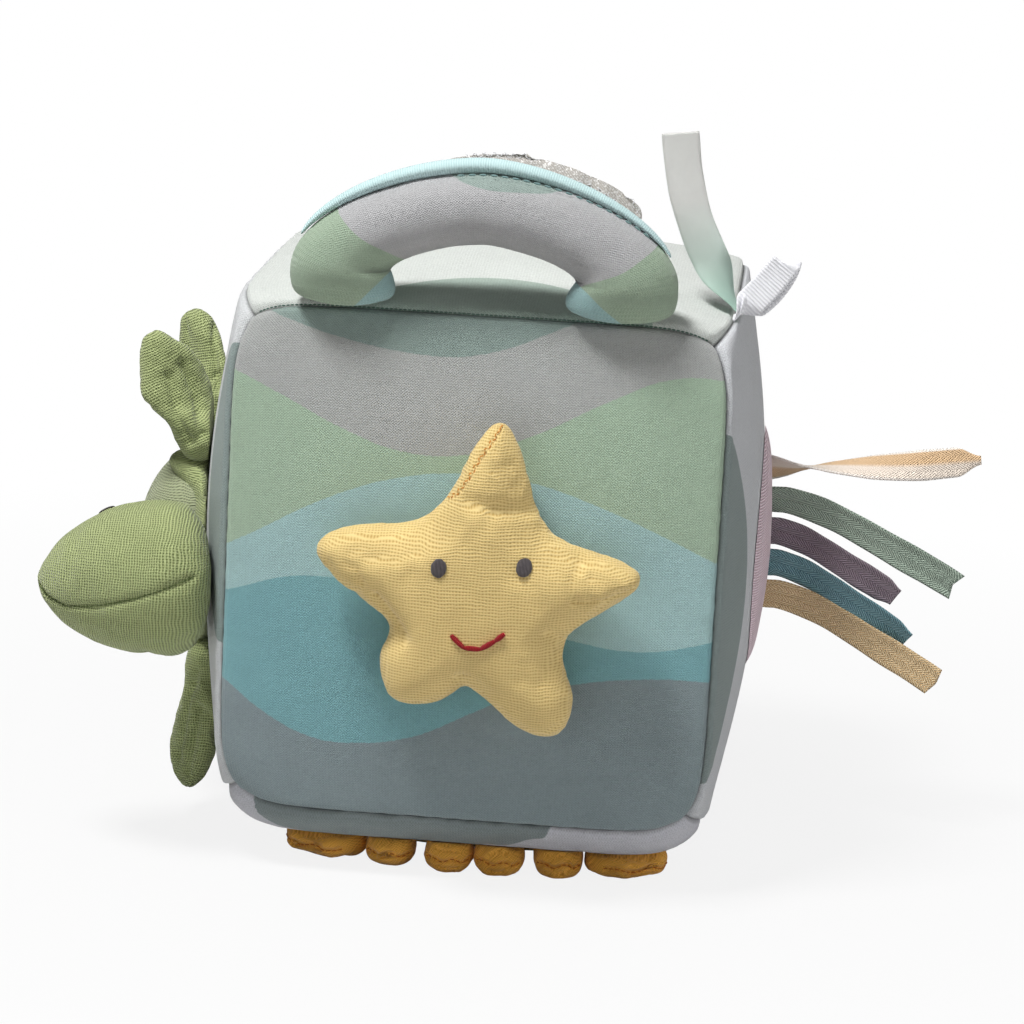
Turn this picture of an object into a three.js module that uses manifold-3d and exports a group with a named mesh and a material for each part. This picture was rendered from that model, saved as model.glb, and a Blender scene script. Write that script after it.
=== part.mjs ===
// Soft fabric block: a plump cloth cube with a stuffed carrying handle, and a stuffed sea
// animal or shell sewn to each side. Millimetres, +Z up. The front face looks towards -Y,
// and the origin is on the floor under the block's centre.

import * as THREE from 'three';
import { mergeVertices } from 'three/addons/utils/BufferGeometryUtils.js';
import Module from 'manifold-3d';

const wasm = await Module();
wasm.setup();

// Clearances
const seat = 0.3; // gap between two pieces that touch
const facetSlack = 0.2; // extra gap where two curved faceted surfaces lie on each other
const cutDepth = 0.5; // how much of the crab the floor flattens

// The block: seam to seam sizes, and how far its cloth swells past them
const block = {
  halfWidth: 74,
  halfDepth: 75,
  halfHeight: 78,
  seamBow: 4.5,
  cornerPull: 3.2,
  cloth: 2,
  frontCrown: 8,
  backCrown: 8,
  leftCrown: 14,
  rightCrown: 11,
  topCrown: 12,
  bottomCrown: 12,
};
const crownPower = 2.2;
const undersidePower = 10;
const bowPower = 6;
const cornerPower = 6;

// How finely the shapes are cut into facets: how many steps, and the angles of round ends
const panelSteps = 10;
const pads = { rim: 32, rings: 4, domeRings: 6, starRim: 70, starRings: 5, threadRings: 2 };
const limbs = {
  sides: 12,
  flapSides: 20,
  swellSteps: 4,
  rootAngles: [75, 50, 25],
  tipAngles: [20, 40, 58, 74, 84],
};
const arches = { sides: 16, steps: 24, stripSides: 8, stripSteps: 20, footAngles: [78, 55, 30] };
const heads = { sides: 18, rearAngles: [82, 68, 50, 30, 12], noseAngles: [0, 14, 28, 42, 56, 70, 82] };
const threads = { sides: 6, steps: 12, eyeRim: 16 };
const ribbons = { steps: 12, tapeSteps: 10 };
const surfaceRounds = 6;

const handle = {
  halfSpan: 45.4,
  rise: 21.8,
  footHalfWidth: 15.6,
  middleHalfWidth: 10.6,
  halfDepth: 11,
  footForward: 0.7,
  stripHalfWidth: 2.2,
  stripHalfDepth: 3.4,
};
const handleShares = {
  archPower: 1.18,
  thinning: 0.35,
  footNarrowing: 0.25,
  footBearing: 0.5,
  stripStart: 0.11,
  nudge: 0.006,
};

const star = {
  across: 5,
  up: -3,
  valley: 30,
  tipBack: 7,
  front: 13,
  back: 7,
  faceAcross: 1,
  faceTurn: 3.5,
  eyeAcross: 12.9,
  eyeUp: 11.7,
  eyeHalfWidth: 2.5,
  eyeHalfHeight: 3,
  threadHalf: 0.5,
  mouthHalfWidth: 8.3,
  mouthTop: -8.5,
  mouthDip: 5.2,
};
const starArms = {
  top: { angle: 86, reach: 54, tipHalfWidth: 8 },
  left: { angle: 166, reach: 52.5, tipHalfWidth: 8 },
  lowerLeft: { angle: -127, reach: 43, tipHalfWidth: 11 },
  lowerRight: { angle: -58, reach: 50, tipHalfWidth: 9.5 },
  right: { angle: 10.5, reach: 51, tipHalfWidth: 6.5 },
};

const turtle = {
  across: 9,
  up: -12,
  padHalfLength: 39,
  padHalfWidth: 36,
  padThickness: 6,
  shellHalfLength: 30,
  shellHalfWidth: 31,
  shellHeight: 21,
};
const turtleHead = {
  across: 67.5,
  up: -12,
  standOff: 22.8,
  rearLength: 22,
  rearTilt: 5,
  noseLength: 33,
  halfHeight: 24.5,
  halfDepth: 22,
  eyeForward: 16,
  eyeHalfWidth: 2.8,
  eyeHalfHeight: 2.2,
  eyeThickness: 0.5,
};
const turtleHeadShares = { rearBlunt: 0.74, noseBlunt: 1.04, eyeTurn: 20 };
const flipper = { rootRadius: 3.5, rootHalfWidth: 8, halfWidth: 13, halfThickness: 5.2 };
const flipperShares = { cap: 0.3, swell: 0.45 };
const flippers = {
  front_upper: { turn: 70, length: 38, leanTurn: 27, foreTurn: 6, twistTurn: 45, widthShare: 1 },
  front_lower: { turn: -70, length: 43, leanTurn: 4, foreTurn: 14, twistTurn: 25, widthShare: 1 },
  rear_upper: { turn: 127, length: 40, leanTurn: 17, foreTurn: -8, twistTurn: -25, widthShare: 0.85 },
  rear_lower: { turn: -127, length: 34, leanTurn: 6, foreTurn: -8, twistTurn: -15, widthShare: 0.85 },
};

const bell = { rearAcross: 12, length: 47, up: -5, halfHeight: 41, thickness: 4.5, arcSteps: 20 };
const bellShares = { middle: 0.33, rear: [0.5, 0, -0.5] };
const tape = {
  rootGap: 1.5,
  topUp: 25.4,
  pitch: 10.85,
  halfWidth: 4.7,
  halfThickness: 0.6,
};
const tapeShares = { straight: 0.1, fallPower: 1.3, swing: 0.5, twistLength: 0.5 };
const tapes = {
  cream: { length: 71, fall: -7, twistAngle: 68 },
  green: { length: 66, fall: 24, twistAngle: 8 },
  mauve: { length: 46, fall: 17.5, twistAngle: 6 },
  teal: { length: 51, fall: 21.5, twistAngle: 10 },
  yellow: { length: 61, fall: 28, twistAngle: 8 },
};

const crab = {
  centreX: 4.5,
  centreY: -10,
  halfLength: 50,
  halfDepth: 36,
  blockHeight: 8,
  middleHeight: 5.5,
  upperHalf: 6,
  clawAcross: 39,
  legHalfWidth: 7.2,
  clawHalfWidth: 13,
  lobeHalfHeight: 5.6,
  legLength: 22,
  clawLength: 29,
};
const crabShares = { outline: 0.75, underside: 0.4, lobeRoot: 0.5, cap: 0.4, swell: 0.5 };
const crabLobes = {
  claw_left: { acrossShare: -1, spreadAngle: 30, claw: true },
  leg_outer_left: { acrossShare: -0.66, spreadAngle: 5, claw: false },
  leg_inner_left: { acrossShare: -0.21, spreadAngle: 0, claw: false },
  leg_inner_right: { acrossShare: 0.21, spreadAngle: 0, claw: false },
  leg_outer_right: { acrossShare: 0.66, spreadAngle: 5, claw: false },
  claw_right: { acrossShare: 1, spreadAngle: 30, claw: true },
};

const flap = {
  centreX: -6,
  rootRadius: 3,
  rootHalfWidth: 45,
  halfWidth: 48,
  halfThickness: 4,
  length: 27,
};

const flapShares = { cap: 0.04, swell: 0.25 };

const ribbonShares = { turnRoom: 0.5, twistLength: 0.33 };
const label = {
  seamY: -52,
  length: 61.8,
  halfWidth: 6,
  halfThickness: 0.4,
  lean: -19.5,
  wave: -1.6,
  drift: 4,
};
const loop = {
  seamY: -64,
  length: 23.5,
  halfWidth: 5,
  halfThickness: 0.8,
  lean: 40,
  wave: 0.6,
  drift: 2,
};

const clothRoughness = 0.9;

// Colours of the cloths
const colours = {
  core: 0xf2f0ea,
  front: 0x9fc0b4,
  pale: 0xc8cbcd,
  side: 0xd2d2da,
  top: 0xdde8e2,
  bottom: 0xd9d7e2,
  handle: 0xafb3b0,
  aqua: 0xb4e1de,
  star: 0xf0d791,
  eye: 0x4b4648,
  mouth: 0xbe282d,
  turtle: 0x8ca55f,
  shell: 0x8c9673,
  bell: 0xd7b9b9,
  cream: 0xf0d7b4,
  green: 0x647d69,
  mauve: 0x8c7d87,
  teal: 0x649ba5,
  yellow: 0xdcb978,
  crab: 0xc88c32,
  flap: 0xafaaa3,
  label: 0xd7d7d4,
  loop: 0xebebf0,
};

// Small helpers
const vec = (x, y, z) => new THREE.Vector3(x, y, z);
const radians = THREE.MathUtils.degToRad;
const smooth = (t) => THREE.MathUtils.smoothstep(t, 0, 1);
const quarterTurn = Math.PI / 2;
const fullTurn = Math.PI * 2;
const steps = (count) => Array.from({ length: count + 1 }, (_, k) => k / count);

// The block lies on the crab: its lowest point is the crab's height over the floor
const blockUnderside = seat + block.bottomCrown + block.seamBow + block.halfHeight;
const blockCentre = vec(0, 0, crab.blockHeight + blockUnderside);

// A closed surface from its points and triangles, with its faces turned outwards
function closedGeometry(points, triangles) {
  const volume = new THREE.Vector3();
  let signed = 0;
  for (let k = 0; k < triangles.length; k += 3) {
    const [a, b, c] = triangles.slice(k, k + 3).map((i) => points[i]);
    signed += a.dot(volume.crossVectors(b, c));
  }
  const index = signed > 0 ? triangles : [...triangles].reverse();
  const geometry = new THREE.BufferGeometry().setFromPoints(points);
  geometry.setIndex(index);
  return geometry;
}

// Solids and geometries change into each other for joins and cuts
function toSolid(geometry) {
  const bare = geometry.clone();
  bare.deleteAttribute('normal');
  bare.deleteAttribute('uv');
  const merged = mergeVertices(bare);
  return new wasm.Manifold(new wasm.Mesh({
    numProp: 3,
    vertProperties: new Float32Array(merged.attributes.position.array),
    triVerts: new Uint32Array(merged.index.array),
  }));
}

function toGeometry(solid) {
  const largest = solid.decompose().reduce((a, b) => (a.volume() > b.volume() ? a : b));
  const mesh = largest.getMesh();
  const geometry = new THREE.BufferGeometry();
  geometry.setAttribute('position', new THREE.BufferAttribute(mesh.vertProperties, 3));
  geometry.setIndex(new THREE.BufferAttribute(mesh.triVerts, 1));
  return geometry;
}

// One ring of a limb: an ellipse, squarer where roundness is under 1
function ring(centre, halfA, halfB, sides, roundness = 1) {
  return Array.from({ length: sides }, (_, k) => {
    const turn = (k / sides) * fullTurn;
    const [c, s] = [Math.cos(turn), Math.sin(turn)];
    return centre.clone()
      .addScaledVector(halfA, Math.sign(c) * Math.abs(c) ** roundness)
      .addScaledVector(halfB, Math.sign(s) * Math.abs(s) ** roundness);
  });
}

// A flat ellipse, and places in a frame of three directions
const ellipse = (halfA, halfB, count, roundness = 1) => ring(
  vec(0, 0, 0),
  vec(halfA, 0, 0),
  vec(0, halfB, 0),
  count,
  roundness,
);

const inFrame = (middle, right, over, out) => (x, y, z) => middle.clone()
  .addScaledVector(right, x)
  .addScaledVector(over, y)
  .addScaledVector(out, z);

// A closed body through rings of equal count
function loft(rings) {
  const sides = rings[0].length;
  const points = rings.flat();
  const triangles = [];
  for (let r = 0; r < rings.length - 1; r += 1) {
    for (let k = 0; k < sides; k += 1) {
      const a = r * sides + k;
      const b = r * sides + ((k + 1) % sides);
      triangles.push(a, b, b + sides, a, b + sides, a + sides);
    }
  }
  const ends = [{ ends: rings[0], first: 0, turned: true }];
  ends.push({ ends: rings.at(-1), first: (rings.length - 1) * sides, turned: false });
  for (const end of ends) {
    const middle = end.ends.reduce((sum, p) => sum.add(p), vec(0, 0, 0)).divideScalar(sides);
    points.push(middle);
    for (let k = 0; k < sides; k += 1) {
      const a = end.first + k;
      const b = end.first + ((k + 1) % sides);
      triangles.push(...(end.turned ? [b, a, points.length - 1] : [a, b, points.length - 1]));
    }
  }
  return closedGeometry(points, triangles);
}

// A padded shape: its outline is flat, its face swells to `front` and its back to `back`.
// A roundness under 1 makes both flatter in the middle.
function pillow(outline, place, front, back, rings, roundness = 1) {
  const count = outline.length;
  const points = [place(0, 0, front), place(0, 0, -back)];
  const triangles = [];
  const rows = { front: [], back: [] };
  for (let r = 1; r <= rings; r += 1) {
    const turn = (r / rings) * quarterTurn;
    const rise = r === rings ? 0 : Math.cos(turn) ** roundness;
    for (const [key, swell] of [['front', front], ['back', -back]]) {
      if (key === 'back' && r === rings) {
        rows.back.push(rows.front.at(-1));
      } else {
        rows[key].push(points.length);
        outline.forEach(({ x, y }) => {
          const s = Math.sin(turn);
          points.push(place(x * s, y * s, swell * rise));
        });
      }
    }
  }
  for (const [key, apex, turned] of [['front', 0, false], ['back', 1, true]]) {
    for (let k = 0; k < count; k += 1) {
      const next = (k + 1) % count;
      const add = (a, b, c) => triangles.push(...(turned ? [b, a, c] : [a, b, c]));
      add(apex, rows[key][0] + k, rows[key][0] + next);
      for (let r = 0; r < rings - 1; r += 1) {
        const [inner, outer] = [rows[key][r], rows[key][r + 1]];
        add(inner + k, outer + k, outer + next);
        add(inner + k, outer + next, inner + next);
      }
    }
  }
  return closedGeometry(points, triangles);
}

// A stuffed limb from a round root, through its widest part, to a round tip. The root's round
// end is centred on `root`, so the limb can turn there.
function limb(frame, size, shares, sides = limbs.sides) {
  const { root, along, across, out, twist = 0 } = frame;
  const stations = [];
  for (const angle of limbs.rootAngles) {
    const [c, s] = [Math.cos(radians(angle)), Math.sin(radians(angle))];
    const width = size.rootHalfWidth * (1 - shares.cap * (1 - c));
    stations.push({ x: -size.rootRadius * s, width, thick: size.rootRadius * c });
  }
  const widest = size.length * shares.swell;
  for (const t of steps(limbs.swellSteps)) {
    const width = THREE.MathUtils.lerp(size.rootHalfWidth, size.halfWidth, smooth(t));
    const thick = THREE.MathUtils.lerp(size.rootRadius, size.halfThickness, smooth(t));
    stations.push({ x: widest * t, width, thick });
  }
  for (const angle of limbs.tipAngles) {
    const [c, s] = [Math.cos(radians(angle)), Math.sin(radians(angle))];
    const x = widest + (size.length - widest) * s;
    stations.push({ x, width: size.halfWidth * c, thick: size.halfThickness * c });
  }
  return loft(stations.map(({ x, width, thick }) => {
    const turn = twist * smooth(x / widest);
    return ring(
      root.clone().addScaledVector(along, x),
      across.clone().applyAxisAngle(along, turn).multiplyScalar(width),
      out.clone().applyAxisAngle(along, turn).multiplyScalar(thick),
      sides,
    );
  }));
}

// A flat ribbon along a path; each point brings its own width direction
function ribbon(path, halfWidth, halfThickness) {
  return loft(path.map(({ point, wide }, k) => {
    const before = path[Math.max(k - 1, 0)].point;
    const after = path[Math.min(k + 1, path.length - 1)].point;
    const tangent = after.clone().sub(before).normalize();
    const flat = wide.clone().addScaledVector(tangent, -wide.dot(tangent)).normalize();
    const thick = tangent.cross(flat).normalize();
    return [[1, 1], [-1, 1], [-1, -1], [1, -1]].map(([w, t]) => point.clone()
      .addScaledVector(flat, w * halfWidth)
      .addScaledVector(thick, t * halfThickness));
  }));
}

// Pieces, their cloth and the groups that hold the ones that move
const part = new THREE.Group();

function piece(name, geometry, colour) {
  geometry.computeVertexNormals();
  const cloth = new THREE.MeshStandardMaterial({ color: colour, roughness: clothRoughness });
  const mesh = new THREE.Mesh(geometry, cloth);
  mesh.name = name;
  part.add(mesh);
  return mesh;
}

// A moving piece hangs in a group at its hinge, whose X axis is the hinge's axis
function hinge(name, pivot, axis, meshes) {
  const joint = new THREE.Group();
  joint.name = name;
  joint.position.copy(pivot);
  joint.quaternion.setFromUnitVectors(vec(1, 0, 0), axis.clone().normalize());
  part.add(joint);
  part.updateMatrixWorld(true);
  meshes.forEach((mesh) => joint.attach(mesh));
  return joint;
}

// The cover's six sides. On each, across x up points out.
function coverSide(out, across, up, halfOut, halfAcross, halfUp, crown, power = crownPower) {
  return { out, across, up, halfOut, halfAcross, halfUp, crown, power };
}

const { halfWidth, halfDepth, halfHeight } = block;
const sides = {
  front: coverSide(vec(0, -1, 0), vec(1, 0, 0), vec(0, 0, 1),
    halfDepth, halfWidth, halfHeight, block.frontCrown),
  back: coverSide(vec(0, 1, 0), vec(-1, 0, 0), vec(0, 0, 1),
    halfDepth, halfWidth, halfHeight, block.backCrown),
  left: coverSide(vec(-1, 0, 0), vec(0, -1, 0), vec(0, 0, 1),
    halfWidth, halfDepth, halfHeight, block.leftCrown),
  right: coverSide(vec(1, 0, 0), vec(0, 1, 0), vec(0, 0, 1),
    halfWidth, halfDepth, halfHeight, block.rightCrown),
  top: coverSide(vec(0, 0, 1), vec(1, 0, 0), vec(0, 1, 0),
    halfHeight, halfWidth, halfDepth, block.topCrown),
  bottom: coverSide(vec(0, 0, -1), vec(1, 0, 0), vec(0, -1, 0),
    halfHeight, halfWidth, halfDepth, block.bottomCrown, undersidePower),
};

// The seams bow out between the corners, and the share says where: -1 and 1 are the corners
const bow = (share) => block.seamBow * (1 - Math.abs(share) ** bowPower);

// How far the cover reaches out at the shares u and v, from -1 to 1, of one side
function coverReach(side, u, v, grow) {
  const { power } = side;
  const puff = side.crown * (1 - Math.abs(u) ** power) * (1 - Math.abs(v) ** power);
  return side.halfOut + grow + bow(u * v) + puff;
}

function coverPoint(side, u, v, grow) {
  const reachAcross = side.halfAcross + grow + bow(v);
  const reachUp = side.halfUp + grow + bow(u);
  const pull = block.cornerPull * Math.abs(u * v) ** cornerPower;
  return blockCentre.clone()
    .addScaledVector(side.across, u * reachAcross - Math.sign(u) * pull)
    .addScaledVector(side.up, v * reachUp - Math.sign(v) * pull)
    .addScaledVector(side.out, coverReach(side, u, v, grow) - pull);
}

// The cover's height over the block's centre at a place on one side, in millimetres
function coverHeight(side, across, up) {
  let u = across / side.halfAcross;
  let v = up / side.halfUp;
  for (let k = 0; k < surfaceRounds; k += 1) {
    u = across / (side.halfAcross + bow(v));
    v = up / (side.halfUp + bow(u));
  }
  return coverReach(side, u, v, seat);
}

// A place on one side: across and up from its middle, and out from the cloth
function onSide(side, across, up, out) {
  return blockCentre.clone()
    .addScaledVector(side.across, across)
    .addScaledVector(side.up, up)
    .addScaledVector(side.out, coverHeight(side, across, up) + out);
}

// A sheet of points over one side, row by row, closer together near the seams
function coverGrid(side, grow) {
  const shares = steps(panelSteps).map((t) => Math.sin((2 * t - 1) * quarterTurn));
  return shares.flatMap((v) => shares.map((u) => coverPoint(side, u, v, grow)));
}

function gridTriangles(first, turned) {
  const row = panelSteps + 1;
  const triangles = [];
  for (let j = 0; j < panelSteps; j += 1) {
    for (let i = 0; i < panelSteps; i += 1) {
      const a = first + j * row + i;
      const quad = [a, a + 1, a + row + 1, a, a + row + 1, a + row];
      triangles.push(...(turned ? quad.reverse() : quad));
    }
  }
  return triangles;
}

// One panel of cloth: the cover's surface, its inner face and its four mitred edges
function panelGeometry(side) {
  const outer = coverGrid(side, 0);
  const inner = coverGrid(side, -block.cloth);
  const points = [...outer, ...inner];
  points.forEach((p) => p.addScaledVector(side.out, seat));
  const row = panelSteps + 1;
  const triangles = [...gridTriangles(0, false), ...gridTriangles(outer.length, true)];
  const last = row * panelSteps;
  const edges = [
    { start: 0, step: 1 },
    { start: panelSteps, step: row },
    { start: last + panelSteps, step: -1 },
    { start: last, step: -row },
  ];
  for (const { start, step } of edges) {
    for (let k = 0; k < panelSteps; k += 1) {
      const a = start + k * step;
      const b = a + step;
      const [c, d] = [a + outer.length, b + outer.length];
      triangles.push(a, d, b, a, c, d);
    }
  }
  return closedGeometry(points, triangles);
}

// The whole cover as one closed body, grown or shrunk, for the core and for cuts
function coverSolid(grow) {
  const points = [];
  const triangles = [];
  for (const side of Object.values(sides)) {
    triangles.push(...gridTriangles(points.length, false));
    points.push(...coverGrid(side, grow));
  }
  return closedGeometry(points, triangles);
}

const coverTool = toSolid(coverSolid(seat + seat));

// Block
piece('filling_core', coverSolid(-block.cloth), colours.core);
const panelColours = {
  front: colours.front,
  back: colours.pale,
  left: colours.pale,
  right: colours.side,
  top: colours.top,
  bottom: colours.bottom,
};
for (const [name, side] of Object.entries(sides)) {
  piece(`${name}_panel`, panelGeometry(side), panelColours[name]);
}

// Handle: a stuffed arch whose round feet stand on the front-top seam
const footInside = handle.halfSpan - handle.footHalfWidth * handleShares.footBearing;
const footSeam = coverPoint(sides.top, footInside / halfWidth, -1, seat);
const footHeight = footSeam.z + handle.halfDepth + seat;
const handlePivot = vec(0, footSeam.y - handle.footForward, footHeight);

function archPoint(turn) {
  const power = handleShares.archPower;
  const across = Math.sign(Math.cos(turn)) * Math.abs(Math.cos(turn)) ** power;
  const up = Math.abs(Math.sin(turn)) ** power;
  return handlePivot.clone().add(vec(handle.halfSpan * across, 0, handle.rise * up));
}

function archHalfWidth(turn) {
  const thinning = Math.abs(Math.sin(turn)) ** handleShares.thinning;
  return THREE.MathUtils.lerp(handle.footHalfWidth, handle.middleHalfWidth, thinning);
}

// The direction from the arch's inside to its outside
function archOutward(turn) {
  const nudge = Math.PI * handleShares.nudge;
  const before = archPoint(Math.max(turn - nudge, 0));
  const after = archPoint(Math.min(turn + nudge, Math.PI));
  const along = after.sub(before).normalize();
  return vec(along.z, 0, -along.x);
}

function handleGeometry() {
  const rings = [];
  const deep = vec(0, handle.halfDepth, 0);
  const foot = (end, angle) => {
    const [c, s] = [Math.cos(radians(angle)), Math.sin(radians(angle))];
    const centre = archPoint(end).add(vec(0, 0, -handle.halfDepth * s));
    const width = handle.footHalfWidth * (1 - handleShares.footNarrowing * (1 - c));
    const outward = vec(Math.cos(end), 0, 0);
    outward.multiplyScalar(width);
    return ring(centre, outward, deep.clone().multiplyScalar(c), arches.sides);
  };
  arches.footAngles.forEach((angle) => rings.push(foot(0, angle)));
  steps(arches.steps).forEach((t) => {
    const turn = t * Math.PI;
    const outward = t === 0 || t === 1 ? vec(Math.cos(turn), 0, 0) : archOutward(turn);
    outward.multiplyScalar(archHalfWidth(turn));
    rings.push(ring(archPoint(turn), outward, deep, arches.sides));
  });
  [...arches.footAngles].reverse().forEach((angle) => rings.push(foot(Math.PI, angle)));
  return loft(rings);
}

function stripGeometry() {
  const { stripStart } = handleShares;
  return loft(steps(arches.stripSteps).map((t) => {
    const turn = Math.PI * THREE.MathUtils.lerp(stripStart, 1 - stripStart, t);
    const outward = archOutward(turn);
    const away = archHalfWidth(turn) + seat + handle.stripHalfWidth;
    const centre = archPoint(turn).addScaledVector(outward, away);
    const taper = Math.max(Math.sin(Math.PI * t), stripStart) ** handleShares.thinning;
    const half = handle.stripHalfWidth * taper;
    centre.addScaledVector(outward, half - handle.stripHalfWidth);
    outward.multiplyScalar(half);
    return ring(centre, outward, vec(0, handle.stripHalfDepth, 0), arches.stripSides);
  }));
}

hinge('handle_hinge', handlePivot, vec(1, 0, 0), [
  piece('handle', handleGeometry(), colours.handle),
  piece('handle_edge_strip', stripGeometry(), colours.aqua),
]);

// Star: its outline runs round five arms, and its padding swells front and back
function starOutline() {
  const arms = Object.values(starArms);
  const controls = arms.flatMap(({ angle, reach, tipHalfWidth }, k) => {
    const next = arms[(k + 1) % arms.length];
    const gap = THREE.MathUtils.euclideanModulo(next.angle - angle, 360) / 2;
    const along = new THREE.Vector2(1, 0).rotateAround(new THREE.Vector2(), radians(angle));
    const side = new THREE.Vector2(-along.y, along.x);
    const at = (far, wide) => along.clone().multiplyScalar(far).addScaledVector(side, wide);
    const valley = new THREE.Vector2(star.valley, 0);
    valley.rotateAround(new THREE.Vector2(), radians(angle + gap));
    const neck = reach - star.tipBack;
    return [at(neck, -tipHalfWidth), at(reach, 0), at(neck, tipHalfWidth), valley];
  });
  const closed = new THREE.CatmullRomCurve3(controls.map((p) => vec(p.x, p.y, 0)), true);
  return closed.getPoints(pads.starRim).slice(0, -1);
}

const starShape = starOutline();
const starMiddle = onSide(sides.front, star.across, star.up, seat + star.back);

// The star's padding over its flat middle, as pillow() makes it
function starSwell(across, up) {
  const angle = Math.atan2(up, across);
  const nearest = starShape.reduce((best, p) => {
    const off = Math.abs(Math.sin((Math.atan2(p.y, p.x) - angle) / 2));
    return off < best.off ? { off, rim: p.length() } : best;
  }, { off: Infinity, rim: star.valley });
  const share = Math.min(Math.hypot(across, up) / nearest.rim, 1);
  return star.front * Math.sqrt(1 - share * share);
}

function onStar(across, up, out) {
  return starMiddle.clone().add(vec(across, -starSwell(across, up) - out, up));
}

// The face sits a little turned on the star
function onFace(across, up, out) {
  return onStar(star.faceAcross + across, up + across * Math.tan(radians(star.faceTurn)), out);
}

function starEye(sideways) {
  const across = sideways * star.eyeAcross;
  const nudge = star.eyeHalfWidth;
  const lift = seat + facetSlack + star.threadHalf;
  const middle = onFace(across, star.eyeUp, lift);
  const right = onFace(across + nudge, star.eyeUp, lift).sub(onFace(across - nudge, star.eyeUp, lift));
  const above = onFace(across, star.eyeUp + nudge, lift).sub(onFace(across, star.eyeUp - nudge, lift));
  right.normalize();
  const out = right.clone().cross(above).normalize();
  const over = out.clone().cross(right);
  const outline = ellipse(star.eyeHalfWidth, star.eyeHalfHeight, threads.eyeRim);
  return pillow(outline, inFrame(middle, right, over, out), star.threadHalf, star.threadHalf,
    pads.threadRings);
}

function starMouth() {
  const lift = seat + facetSlack + star.threadHalf;
  return loft(steps(threads.steps).map((t) => {
    const across = THREE.MathUtils.lerp(-star.mouthHalfWidth, star.mouthHalfWidth, t);
    const share = across / star.mouthHalfWidth;
    const up = star.mouthTop - star.mouthDip * (1 - share * share);
    const slope = (2 * star.mouthDip * share) / star.mouthHalfWidth;
    const over = vec(-slope, 0, 1).normalize().multiplyScalar(star.threadHalf);
    return ring(onFace(across, up, lift), over, vec(0, star.threadHalf, 0), threads.sides);
  }));
}

hinge('star_hinge', starMiddle, vec(0, -1, 0), [
  piece('star_body', pillow(
    starShape,
    (x, y, z) => starMiddle.clone().add(vec(x, -z, y)),
    star.front,
    star.back,
    pads.starRings,
  ), colours.star),
  piece('star_eye_left', starEye(-1), colours.eye),
  piece('star_eye_right', starEye(1), colours.eye),
  piece('star_mouth', starMouth(), colours.mouth),
]);

// Turtle: a pad on the left side carries its shell, head and flippers
const onTurtle = (base) => (x, y, z) => onSide(
  sides.left,
  turtle.across + x,
  turtle.up + y,
  base + z,
);
const padBase = seat + facetSlack;

function turtlePad(grow) {
  const outline = ellipse(turtle.padHalfLength + grow, turtle.padHalfWidth + grow, pads.rim);
  return pillow(outline, onTurtle(padBase), turtle.padThickness + grow, 0, pads.rings);
}

function turtleShell() {
  const outline = ellipse(turtle.shellHalfLength, turtle.shellHalfWidth, pads.rim);
  const dome = pillow(outline, onTurtle(padBase), turtle.shellHeight, 0, pads.domeRings);
  return toGeometry(toSolid(dome).subtract(toSolid(turtlePad(seat))));
}

piece('turtle_body', turtlePad(0), colours.turtle);
piece('turtle_shell', turtleShell(), colours.shell);

const headMiddle = onSide(sides.left, turtleHead.across, turtleHead.up, turtleHead.standOff);

function headRing(angle, length, blunt, tilt = 0) {
  const [c, s] = [Math.cos(radians(angle)), Math.sin(radians(angle))];
  const swell = c ** blunt;
  return ring(
    headMiddle.clone().add(vec(length * s ** blunt, 0, 0)),
    vec(-tilt * s, turtleHead.halfDepth, 0).multiplyScalar(swell),
    vec(0, 0, turtleHead.halfHeight * swell),
    heads.sides,
  );
}

function headGeometry() {
  const { rearBlunt, noseBlunt } = turtleHeadShares;
  const { rearLength, rearTilt } = turtleHead;
  const rear = heads.rearAngles.map((a) => headRing(a, rearLength, rearBlunt, rearTilt));
  const nose = heads.noseAngles.map((a) => headRing(a, -turtleHead.noseLength, noseBlunt));
  return loft([...rear, ...nose]);
}

function headEye(upward) {
  const { noseBlunt, eyeTurn } = turtleHeadShares;
  const share = turtleHead.eyeForward / turtleHead.noseLength;
  const swell = Math.cos(Math.asin(share ** (1 / noseBlunt))) ** noseBlunt;
  const turn = radians(eyeTurn);
  const rim = vec(0, turtleHead.halfDepth * Math.sin(turn), upward * turtleHead.halfHeight * Math.cos(turn));
  const surface = headMiddle.clone().add(vec(-turtleHead.eyeForward, 0, 0)).addScaledVector(rim, swell);
  const out = vec(
    -share / turtleHead.noseLength / swell,
    Math.sin(turn) / turtleHead.halfDepth,
    (upward * Math.cos(turn)) / turtleHead.halfHeight,
  ).normalize();
  const middle = surface.addScaledVector(out, seat + facetSlack + turtleHead.eyeThickness);
  const ahead = vec(1, 0, 0).addScaledVector(out, -out.x).normalize();
  const over = out.clone().cross(ahead);
  const outline = ellipse(turtleHead.eyeHalfWidth, turtleHead.eyeHalfHeight, threads.eyeRim);
  const thick = turtleHead.eyeThickness;
  return pillow(outline, inFrame(middle, ahead, over, out), thick, thick, pads.threadRings);
}

const neckHeight = turtle.padThickness / 2;
const neck = onSide(sides.left, turtle.across + turtle.padHalfLength, turtle.up, neckHeight);
hinge('turtle_head_hinge', neck, vec(1, 0, 0), [
  piece('turtle_head', headGeometry(), colours.turtle),
  piece('turtle_eye_upper', headEye(1), colours.eye),
  piece('turtle_eye_lower', headEye(-1), colours.eye),
]);

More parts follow.
